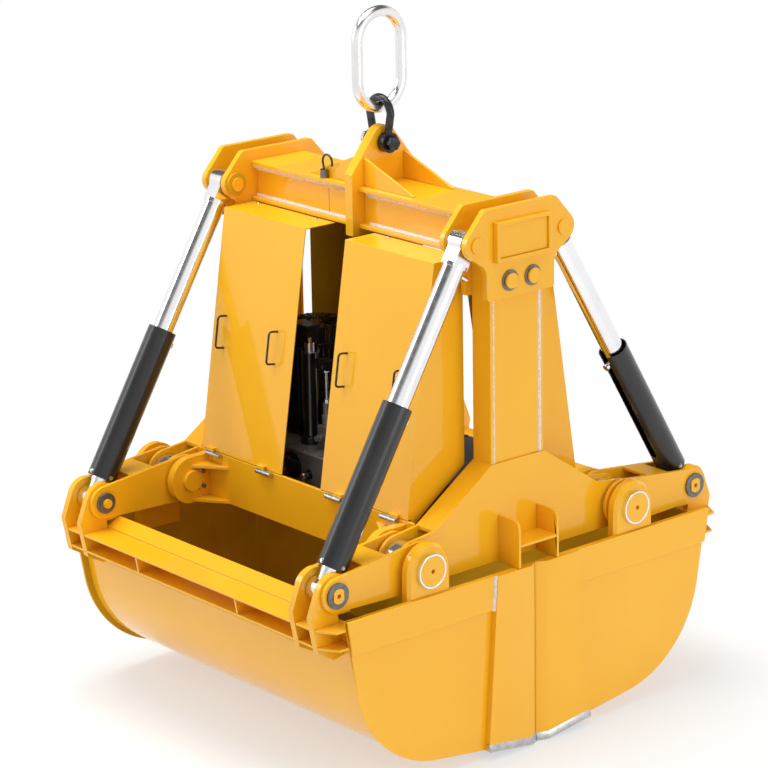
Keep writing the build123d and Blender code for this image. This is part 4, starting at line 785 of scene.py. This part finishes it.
def cover_screws(side, end):
    """Screws on the top flange of a cover, beside the beam."""
    low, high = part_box(f"{side}_{end}_cover")
    x, y = SIDES[side], ENDS[end]
    edge = low.x if x > 0 else high.x
    near, far = sorted((abs(low.y), abs(high.y)))
    seat = Vector((edge + x * COVER_SCREW_INSET, y * (near + COVER_SCREW_IN), high.z))
    step = Vector((0, y * (far - COVER_SCREW_OUT - near - COVER_SCREW_IN), 0))
    unit = dome_screw(seat, (0, 0, 1), COVER_SCREW_R)
    return ROW.grow(unit, "bright_steel", Count=COVER_SCREW_COUNT, Step=step)


for side, x in SIDES.items():
    for end, y in ENDS.items():
        corner = f"{side}_{end}"
        add_piece(f"{corner}_guard_bolts", shaded(guard_bolts(x, y)), f"{corner}_piston", "bright_steel")
        add_piece(f"{corner}_cover_screws", shaded(cover_screws(side, end)), f"{corner}_door", "bright_steel")


# Joint in the beam webs
JOINT_Y, JOINT_W, JOINT_CROWN_W, JOINT_T = 197 * MM, 2.5 * MM, 1.5 * MM, 0.6 * MM


def beam_joints():
    """Sealed joint between two lengths of each web, a flat strip with drawn-in edges."""
    form = Form()
    web = beam_high.x - BEAM_WEB_SETBACK
    low, high = beam_low.z + BEAM_FLANGE_T, beam_high.z - BEAM_FLANGE_T
    half, crown = JOINT_W / 2, JOINT_CROWN_W / 2
    strip = ((half, 0.0), (crown, JOINT_T), (-crown, JOINT_T), (-half, 0.0))
    for x in (-1, 1):
        spots = [(x * (web + rise), JOINT_Y + across) for across, rise in strip]
        form.loft(*[[Vector((*spot, z)) for spot in spots] for z in (low, high)])
    return form.mesh("beam_joints")


add_piece("beam_joints", beam_joints(), "frame", "dark_steel")


# Power pack
tank_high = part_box("oil_tank")[1]
motor_low, motor_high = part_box("electric_motor")
box_low, box_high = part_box("terminal_box")
valve_low, valve_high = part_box("valve_block")
LID_Z = tank_high.z
UP = Vector((0, 0, 1))


def turned(*pairs):
    """Profile of a turned fitting, from heights and radii in millimetres."""
    return [(height * MM, radius * MM) for height, radius in pairs]


MOTOR_AXIS = (motor_low + motor_high) / 2
MOTOR_R, MOTOR_FOOT_T, FAN_T = 125 * MM, 18 * MM, 70 * MM
FIN_REACH, FIN_T, FIN_COUNT = 16 * MM, 3.5 * MM, 40
FIN_ROOT, FIN_FOOT_GAP, FIN_TOP_GAP = 2 * MM, 8 * MM, 14 * MM
FIN_NOSE_X, FIN_NOSE_Z = 4 * MM, 8 * MM


def motor_fins():
    """Cooling fins round the motor, between its foot and its fan cowl."""
    middle = Vector((MOTOR_AXIS.x, MOTOR_AXIS.y, 0))
    low, high = motor_low.z + MOTOR_FOOT_T + FIN_FOOT_GAP, motor_high.z - FAN_T - FIN_TOP_GAP
    root, tip = MOTOR_R - FIN_ROOT, MOTOR_R + FIN_REACH
    outline = ((root, low), (tip - FIN_NOSE_X, low), (tip, low + FIN_NOSE_Z),
               (tip, high - FIN_NOSE_Z), (tip - FIN_NOSE_X, high), (root, high))
    faces = [[middle + Vector((out, across, z)) for out, z in outline] for across in (-FIN_T / 2, FIN_T / 2)]
    fin = Form().loft(*faces).mesh("fin")
    return RING.grow(fin, "black_paint", Count=FIN_COUNT, Centre=middle, Axis=UP)


FAN_RIB_COUNT = 20
FAN_RIB_LOW, FAN_RIB_HIGH, FAN_RIB_LIP = mm(32, -2.5, -1), mm(106, 2.5, 5), 1.5 * MM


def fan_ribs():
    """Ribs of the grille on the fan cowl."""
    middle = Vector((MOTOR_AXIS.x, MOTOR_AXIS.y, motor_high.z))
    rib = Form().block(middle + FAN_RIB_LOW, middle + FAN_RIB_HIGH, FAN_RIB_LIP).mesh("rib")
    return RING.grow(rib, "black_paint", Count=FAN_RIB_COUNT, Centre=middle, Axis=UP)


LID_BOLT_INSET, LID_LONG_COUNT, LID_SHORT_COUNT = 14 * MM, 12, 5


def lid_bolts():
    """Bolts round the edge of the tank lid."""
    x, y = tank_high.x - LID_BOLT_INSET, tank_high.y - LID_BOLT_INSET
    along, across = 2 * y / (LID_LONG_COUNT - 1), 2 * x / (LID_SHORT_COUNT + 1)
    rows = []
    for start, step, count in (
            ((-x, -y), (0, along), LID_LONG_COUNT),
            ((x, -y), (0, along), LID_LONG_COUNT),
            ((across - x, -y), (across, 0), LID_SHORT_COUNT),
            ((across - x, y), (across, 0), LID_SHORT_COUNT)):
        unit = bolt((*start, LID_Z), UP, **SMALL_BOLT)
        rows.append(ROW.grow(unit, "zinc", Count=count, Step=Vector((*step, 0))))
    return rows


BOX_SCREW_INSET, BOX_SCREW_PITCH, BOX_SCREW_R = 14 * MM, 122 * MM, 5 * MM


def box_screws():
    """Screws in the corners of the terminal box lid."""
    rows = []
    for along in (BOX_SCREW_INSET, BOX_SCREW_INSET + BOX_SCREW_PITCH):
        seat = (box_low.x + along, box_low.y + BOX_SCREW_INSET, box_high.z)
        unit = dome_screw(seat, UP, BOX_SCREW_R)
        rows.append(ROW.grow(unit, "zinc", Count=2, Step=Vector((0, BOX_SCREW_PITCH, 0))))
    return rows


VALVE_H, VALVE_BOLT_X, VALVE_BOLT_Y = 150 * MM, 48 * MM, 120 * MM
VALVE_BOLT_COUNT, VALVE_BOLT_PITCH = 4, 80 * MM


def valve_bolts():
    """Cap bolts between the solenoids."""
    middle = (valve_low + valve_high) / 2
    rows = []
    for x in (-VALVE_BOLT_X, VALVE_BOLT_X):
        unit = bolt((middle.x + x, middle.y - VALVE_BOLT_Y, LID_Z + VALVE_H), UP, **CAP_BOLT)
        rows.append(ROW.grow(unit, "zinc", Count=VALVE_BOLT_COUNT, Step=Vector((0, VALVE_BOLT_PITCH, 0))))
    return rows


JUNCTION, JUNCTION_SIZE = mm(-190, 258, -1347), mm(60, 102, 66)
JUNCTION_LID_LOW, JUNCTION_LID_HIGH, JUNCTION_LID_LIP = mm(-5, -5, 66), mm(65, 107, 80), 4 * MM
SADDLE_LOW, SADDLE_HIGH = mm(40, 50, 8), mm(95, 100, 60)


def motor_junction():
    """Connection box on the side of the motor, on a saddle, with an overhanging lid."""
    form = Form().block(JUNCTION, JUNCTION + JUNCTION_SIZE)
    form.block(JUNCTION + JUNCTION_LID_LOW, JUNCTION + JUNCTION_LID_HIGH, JUNCTION_LID_LIP)
    form.block(JUNCTION + SADDLE_LOW, JUNCTION + SADDLE_HIGH)
    return form.mesh("motor_junction")


SWITCH_FOOT = Vector((-205 * MM, 122 * MM, LID_Z))
SWITCH_BODY_LOW, SWITCH_BODY_HIGH, SWITCH_BODY_LIP = mm(-28, -30, 0), mm(28, 30, 96), 4 * MM
SWITCH_STEM_AT, SWITCH_STEM = mm(0, 0, 96), turned((0, 22), (40, 22), (46, 17), (92, 17))
SWITCH_PLUG_AT, SWITCH_PLUG = mm(-28, 0, 50), turned((-2, 15), (18, 15), (20, 12), (34, 12))
RISER_NUT_AT, RISER_NUT = mm(0, 0, 188), turned((-2, 12), (16, 12))
RISER_TUBE_AT, RISER_TUBE = mm(0, 0, 200), turned((0, 6), (130, 6))
RISER_CAP_AT, RISER_CAP = mm(0, 0, 318), turned((0, 12), (24, 12), (26, 9), (44, 9))
SWITCH_NEAR_LOW, SWITCH_NEAR_HIGH = mm(-20, -28, 330), mm(20, -7, 372)
SWITCH_FAR_LOW, SWITCH_FAR_HIGH = mm(-20, 7, 330), mm(20, 42, 372)
SWITCH_BRIDGE_LOW, SWITCH_BRIDGE_HIGH, SWITCH_LIP = mm(-14, -26, 345), mm(-8, 40, 366), 3 * MM


def switch_valve():
    """Valve of the pressure switch, on the lid beside the accumulator."""
    form = Form().block(SWITCH_FOOT + SWITCH_BODY_LOW, SWITCH_FOOT + SWITCH_BODY_HIGH, SWITCH_BODY_LIP)
    form.turn(SWITCH_FOOT + SWITCH_STEM_AT, UP, SWITCH_STEM)
    form.turn(SWITCH_FOOT + SWITCH_PLUG_AT, (-1, 0, 0), SWITCH_PLUG)
    return form.mesh("pressure_switch")


def switch_riser():
    """Thin riser from the valve to the switch, with a nut at each end."""
    form = Form().turn(SWITCH_FOOT + RISER_NUT_AT, UP, RISER_NUT, HEX_SIDES)
    form.turn(SWITCH_FOOT + RISER_TUBE_AT, UP, RISER_TUBE)
    form.turn(SWITCH_FOOT + RISER_CAP_AT, UP, RISER_CAP, HEX_SIDES)
    return form.mesh("pressure_switch")


def switch_head():
    """Two housings of the switch on the riser, with a bridge between them."""
    form = Form().block(SWITCH_FOOT + SWITCH_NEAR_LOW, SWITCH_FOOT + SWITCH_NEAR_HIGH, SWITCH_LIP)
    form.block(SWITCH_FOOT + SWITCH_FAR_LOW, SWITCH_FOOT + SWITCH_FAR_HIGH, SWITCH_LIP)
    form.block(SWITCH_FOOT + SWITCH_BRIDGE_LOW, SWITCH_FOOT + SWITCH_BRIDGE_HIGH)
    return form.mesh("pressure_switch")


TANK_OUT = (-1, 0, 0)
HATCH_AT, HATCH, HATCH_SIDES = mm(-298, 236, -1826), turned((0, 58), (12, 58), (14, 55)), 40
DRAIN_AT, DRAIN_BOSS = mm(-298, 128, -1838), turned((0, 20), (10, 20), (12, 17))
COCK_AT, COCK_NUT = mm(-308, 128, -1838), turned((0, 11), (14, 11))
COCK_BODY_AT, COCK_BODY = mm(-14, 0, 0), turned((0, 6), (4, 10), (10, 12), (16, 10), (19, 5))
COCK_LEVER_AT, COCK_LEVER = mm(-24, 0, -6), turned((0, 6), (40, 6), (41, 8), (56, 8))


def tank_hatch():
    """Hatch on the side of the tank, and the boss for the drain beside it."""
    form = Form().turn(HATCH_AT, TANK_OUT, HATCH, HATCH_SIDES)
    return form.turn(DRAIN_AT, TANK_OUT, DRAIN_BOSS).mesh("tank_fittings")


def drain_cock():
    """Cock on the drain's boss, with its lever hanging down."""
    form = Form().turn(COCK_AT, TANK_OUT, COCK_NUT, HEX_SIDES)
    form.turn(COCK_AT + COCK_BODY_AT, TANK_OUT, COCK_BODY)
    return form.turn(COCK_AT + COCK_LEVER_AT, -UP, COCK_LEVER).mesh("tank_fittings")


ACCUMULATOR_PIPE_R, MOTOR_PIPE_R = 8 * MM, 9 * MM
ACCUMULATOR_PIPE = (mm(-145, -130, -1690), mm(-176, -130, -1690), mm(-206, -130, -1690),
                    mm(-206, -100, -1690), mm(-206, 20, -1690), mm(-206, 70, -1690), mm(-206, 92, -1690))
MOTOR_PIPE = (mm(-20, -70, -1680), mm(-20, -20, -1680), mm(-20, 20, -1680), mm(-20, 20, -1720),
              mm(-20, 150, -1720), mm(-20, 200, -1720), mm(-20, 242, -1720))
PIPE_ROUNDING, PIPE_ORDER = 3, 3
PIPE_NUT_SINK, PIPE_NUT_EDGE, PIPE_NUT_L = 2 * MM, 18 * MM, 20 * MM
PIPE_NUT_R, PIPE_NUT_NOSE_R = 1.9, 1.5


def bent_tube(points, radius):
    """Round tube that bends along given points."""
    curve = bpy.data.curves.new("pipe", "CURVE")
    curve.dimensions = "3D"
    curve.bevel_depth = radius
    curve.bevel_resolution = PIPE_ROUNDING
    curve.use_fill_caps = True
    spline = curve.splines.new("NURBS")
    spline.points.add(len(points) - 1)
    for point, place in zip(spline.points, points):
        point.co = (*place, 1.0)
    spline.use_endpoint_u = True
    spline.order_u = PIPE_ORDER
    holder = bpy.data.objects.new("pipe", curve)
    bpy.context.scene.collection.objects.link(holder)
    mesh = bpy.data.meshes.new_from_object(holder.evaluated_get(bpy.context.evaluated_depsgraph_get()))
    bpy.data.objects.remove(holder)
    return mesh


def steel_pipe(points, radius):
    """Bent hydraulic pipe with a nut at each end."""
    nut_r, nose_r = PIPE_NUT_R * radius, PIPE_NUT_NOSE_R * radius
    nut = ((0, nut_r), (PIPE_NUT_EDGE, nut_r), (PIPE_NUT_L, nose_r))
    nuts = Form()
    for end, towards in ((points[0], points[1]), (points[-1], points[-2])):
        way = (towards - end).normalized()
        nuts.turn(end - way * PIPE_NUT_SINK, way, nut, HEX_SIDES)
    return [bent_tube(points, radius), nuts.mesh("nuts")]


pack_bolts = lid_bolts() + box_screws() + valve_bolts()
pack_pipes = steel_pipe(ACCUMULATOR_PIPE, ACCUMULATOR_PIPE_R) + steel_pipe(MOTOR_PIPE, MOTOR_PIPE_R)
add_piece("motor_fins", shaded(motor_fins()), "frame", "black_paint")
add_piece("fan_ribs", shaded(fan_ribs()), "frame", "black_paint")
add_piece("motor_junction", motor_junction(), "frame", "black_paint")
add_piece("pack_bolts", joined("pack_bolts", pack_bolts), "frame", "zinc")
add_piece("switch_valve", switch_valve(), "frame", "grey_paint")
add_piece("switch_riser", switch_riser(), "frame", "bright_steel")
add_piece("switch_head", switch_head(), "frame", "black_paint")
add_piece("tank_hatch", tank_hatch(), "frame", "black_paint")
add_piece("drain_cock", drain_cock(), "frame", "bright_steel")
add_piece("pack_pipes", joined("pack_pipes", pack_pipes), "frame", "bright_steel")


# Studio
EYE = Vector((-7.745, -9.152, 2.0745))
EYE_TURN = math.radians(-40.22)
EYE_RISE = math.radians(16.568)
EYE_ROLL = math.radians(-1.027)
EYE_LENS = 145.47
EYE_SENSOR = 36.0
EYE_REACH = 100.0

FLOOR_Z = cad_box[0].z
FLOOR_R, FLOOR_SIDES = 6.0, 96
FADE_START, FADE_END = 0.35 * FLOOR_R, 0.95 * FLOOR_R
STAND = Vector((0.0, 0.0, FLOOR_Z / 2))
AMBIENT = (0.98, 0.99, 1.0)
AMBIENT_LEVEL = 0.66
WHITE_RISE, BACK_RISE = 0.53, 0.04
BACK_START, BACK_FULL = 0.8, 0.95
DUSK_W, DUSK_LEVEL = 0.05, 0.12
FLOOR_WHITE = (0.86, 0.86, 0.86)
FLOOR_LIFT, FLOOR_GLOW = 0.5, 0.4


def white_to_eye(tree):
    """One for the rays that show the background: camera, mirror and glass rays."""
    path = tree.nodes.new("ShaderNodeLightPath")
    either = tree.nodes.new("ShaderNodeMath")
    either.operation = "MAXIMUM"
    any_of = tree.nodes.new("ShaderNodeMath")
    any_of.operation = "MAXIMUM"
    tree.links.new(path.outputs["Is Camera Ray"], either.inputs[0])
    tree.links.new(path.outputs["Is Glossy Ray"], either.inputs[1])
    tree.links.new(either.outputs[0], any_of.inputs[0])
    tree.links.new(path.outputs["Is Transmission Ray"], any_of.inputs[1])
    return any_of.outputs[0]


def studio_world():
    """White surroundings, darker high up and behind the grab in mirrors, and even light from all round."""
    world = bpy.data.worlds.new("studio")
    world.use_nodes = True
    tree = world.node_tree
    tree.nodes.clear()
    light = tree.nodes.new("ShaderNodeBackground")
    light.inputs["Color"].default_value = (*AMBIENT, 1.0)
    light.inputs["Strength"].default_value = AMBIENT_LEVEL
    white = tree.nodes.new("ShaderNodeBackground")
    white.inputs["Color"].default_value = (1.0, 1.0, 1.0, 1.0)
    way = tree.nodes.new("ShaderNodeTexCoord")
    split = tree.nodes.new("ShaderNodeSeparateXYZ")
    behind = tree.nodes.new("ShaderNodeVectorMath")
    behind.operation = "DOT_PRODUCT"
    behind.inputs[1].default_value = (-math.sin(EYE_TURN), math.cos(EYE_TURN), 0.0)
    rise = tree.nodes.new("ShaderNodeMapRange")
    rise.interpolation_type = "SMOOTHSTEP"
    rise.inputs["From Min"].default_value = BACK_START
    rise.inputs["From Max"].default_value = BACK_FULL
    rise.inputs["To Min"].default_value = WHITE_RISE
    rise.inputs["To Max"].default_value = BACK_RISE
    above = tree.nodes.new("ShaderNodeMath")
    above.operation = "SUBTRACT"
    dusk = tree.nodes.new("ShaderNodeMapRange")
    dusk.interpolation_type = "SMOOTHSTEP"
    dusk.inputs["From Min"].default_value = -DUSK_W
    dusk.inputs["From Max"].default_value = DUSK_W
    dusk.inputs["To Min"].default_value = 1.0
    dusk.inputs["To Max"].default_value = DUSK_LEVEL
    eye = tree.nodes.new("ShaderNodeLightPath")
    level = tree.nodes.new("ShaderNodeMath")
    level.operation = "MAXIMUM"
    mix = tree.nodes.new("ShaderNodeMixShader")
    out = tree.nodes.new("ShaderNodeOutputWorld")
    tree.links.new(way.outputs["Generated"], split.inputs[0])
    tree.links.new(way.outputs["Generated"], behind.inputs[0])
    tree.links.new(behind.outputs["Value"], rise.inputs["Value"])
    tree.links.new(split.outputs["Z"], above.inputs[0])
    tree.links.new(rise.outputs["Result"], above.inputs[1])
    tree.links.new(above.outputs[0], dusk.inputs["Value"])
    tree.links.new(dusk.outputs["Result"], level.inputs[0])
    tree.links.new(eye.outputs["Is Camera Ray"], level.inputs[1])
    tree.links.new(level.outputs[0], white.inputs["Strength"])
    tree.links.new(white_to_eye(tree), mix.inputs["Fac"])
    tree.links.new(light.outputs[0], mix.inputs[1])
    tree.links.new(white.outputs[0], mix.inputs[2])
    tree.links.new(mix.outputs[0], out.inputs["Surface"])
    bpy.context.scene.world = world


def floor_material():
    """Pale floor that fades into the white background away from the grab."""
    material = bpy.data.materials.new("pale_floor")
    material.use_nodes = True
    tree = material.node_tree
    tree.nodes.clear()
    matt = tree.nodes.new("ShaderNodeBsdfDiffuse")
    matt.inputs["Color"].default_value = (*FLOOR_WHITE, 1.0)
    lift = tree.nodes.new("ShaderNodeEmission")
    share = tree.nodes.new("ShaderNodeMapRange")
    share.inputs["To Min"].default_value = FLOOR_GLOW
    share.inputs["To Max"].default_value = FLOOR_LIFT
    lit = tree.nodes.new("ShaderNodeMixShader")
    clear = tree.nodes.new("ShaderNodeBsdfTransparent")
    fade = tree.nodes.new("ShaderNodeMixShader")
    place = tree.nodes.new("ShaderNodeTexCoord")
    reach = tree.nodes.new("ShaderNodeVectorMath")
    reach.operation = "LENGTH"
    spread = tree.nodes.new("ShaderNodeMapRange")
    spread.interpolation_type = "SMOOTHSTEP"
    spread.inputs["From Min"].default_value = FADE_START
    spread.inputs["From Max"].default_value = FADE_END
    out = tree.nodes.new("ShaderNodeOutputMaterial")
    tree.links.new(white_to_eye(tree), share.inputs["Value"])
    tree.links.new(share.outputs["Result"], lit.inputs["Fac"])
    tree.links.new(matt.outputs[0], lit.inputs[1])
    tree.links.new(lift.outputs[0], lit.inputs[2])
    tree.links.new(place.outputs["Object"], reach.inputs[0])
    tree.links.new(reach.outputs["Value"], spread.inputs["Value"])
    tree.links.new(spread.outputs["Result"], fade.inputs["Fac"])
    tree.links.new(lit.outputs[0], fade.inputs[1])
    tree.links.new(clear.outputs[0], fade.inputs[2])
    tree.links.new(fade.outputs[0], out.inputs["Surface"])
    return material


def studio_floor():
    """Round floor under the grab."""
    mesh = bpy.data.meshes.new("floor")
    ring = bmesh.new()
    bmesh.ops.create_circle(ring, cap_ends=True, segments=FLOOR_SIDES, radius=FLOOR_R)
    ring.to_mesh(mesh)
    ring.free()
    floor = bpy.data.objects.new("floor", mesh)
    floor.location = (0.0, 0.0, FLOOR_Z)
    floor.data.materials.append(floor_material())
    bpy.context.scene.collection.objects.link(floor)


def soft_box(name, place, width, height, power):
    """Wide lamp that faces the middle of the grab."""
    lamp = bpy.data.lights.new(name, "AREA")
    lamp.shape = "RECTANGLE"
    lamp.size = width
    lamp.size_y = height
    lamp.energy = power
    box = bpy.data.objects.new(name, lamp)
    box.location = place
    box.rotation_euler = (STAND - Vector(place)).to_track_quat("-Z", "Y").to_euler()
    bpy.context.scene.collection.objects.link(box)


def photo_camera():
    """Camera that stands where the photograph was taken."""
    back = Vector((math.sin(EYE_TURN) * math.cos(EYE_RISE), -math.cos(EYE_TURN) * math.cos(EYE_RISE),
                   math.sin(EYE_RISE)))
    right = Vector((math.cos(EYE_TURN), math.sin(EYE_TURN), 0.0))
    up = back.cross(right)
    tilted_right = math.cos(EYE_ROLL) * right + math.sin(EYE_ROLL) * up
    tilted_up = math.cos(EYE_ROLL) * up - math.sin(EYE_ROLL) * right
    turn = Matrix((tilted_right, tilted_up, back)).transposed()
    data = bpy.data.cameras.new("photo_camera")
    data.lens = EYE_LENS
    data.sensor_width = EYE_SENSOR
    data.sensor_fit = "HORIZONTAL"
    data.clip_end = EYE_REACH
    camera = bpy.data.objects.new("photo_camera", data)
    camera.matrix_world = Matrix.Translation(EYE) @ turn.to_4x4()
    bpy.context.scene.collection.objects.link(camera)
    bpy.context.scene.camera = camera


studio_world()
studio_floor()
soft_box("top_light", place=(-1.2, 0.9, 5.0), width=5.0, height=5.0, power=470.0)
soft_box("left_light", place=(-4.5, 4.25, 1.6), width=1.4, height=3.4, power=66.0)
soft_box("front_light", place=(1.0, -7.0, 0.0), width=3.0, height=3.0, power=100.0)
soft_box("high_front_light", place=(0.0, -3.5, 4.5), width=3.0, height=3.0, power=26.0)
photo_camera()
bpy.context.scene.view_settings.view_transform = "Standard"
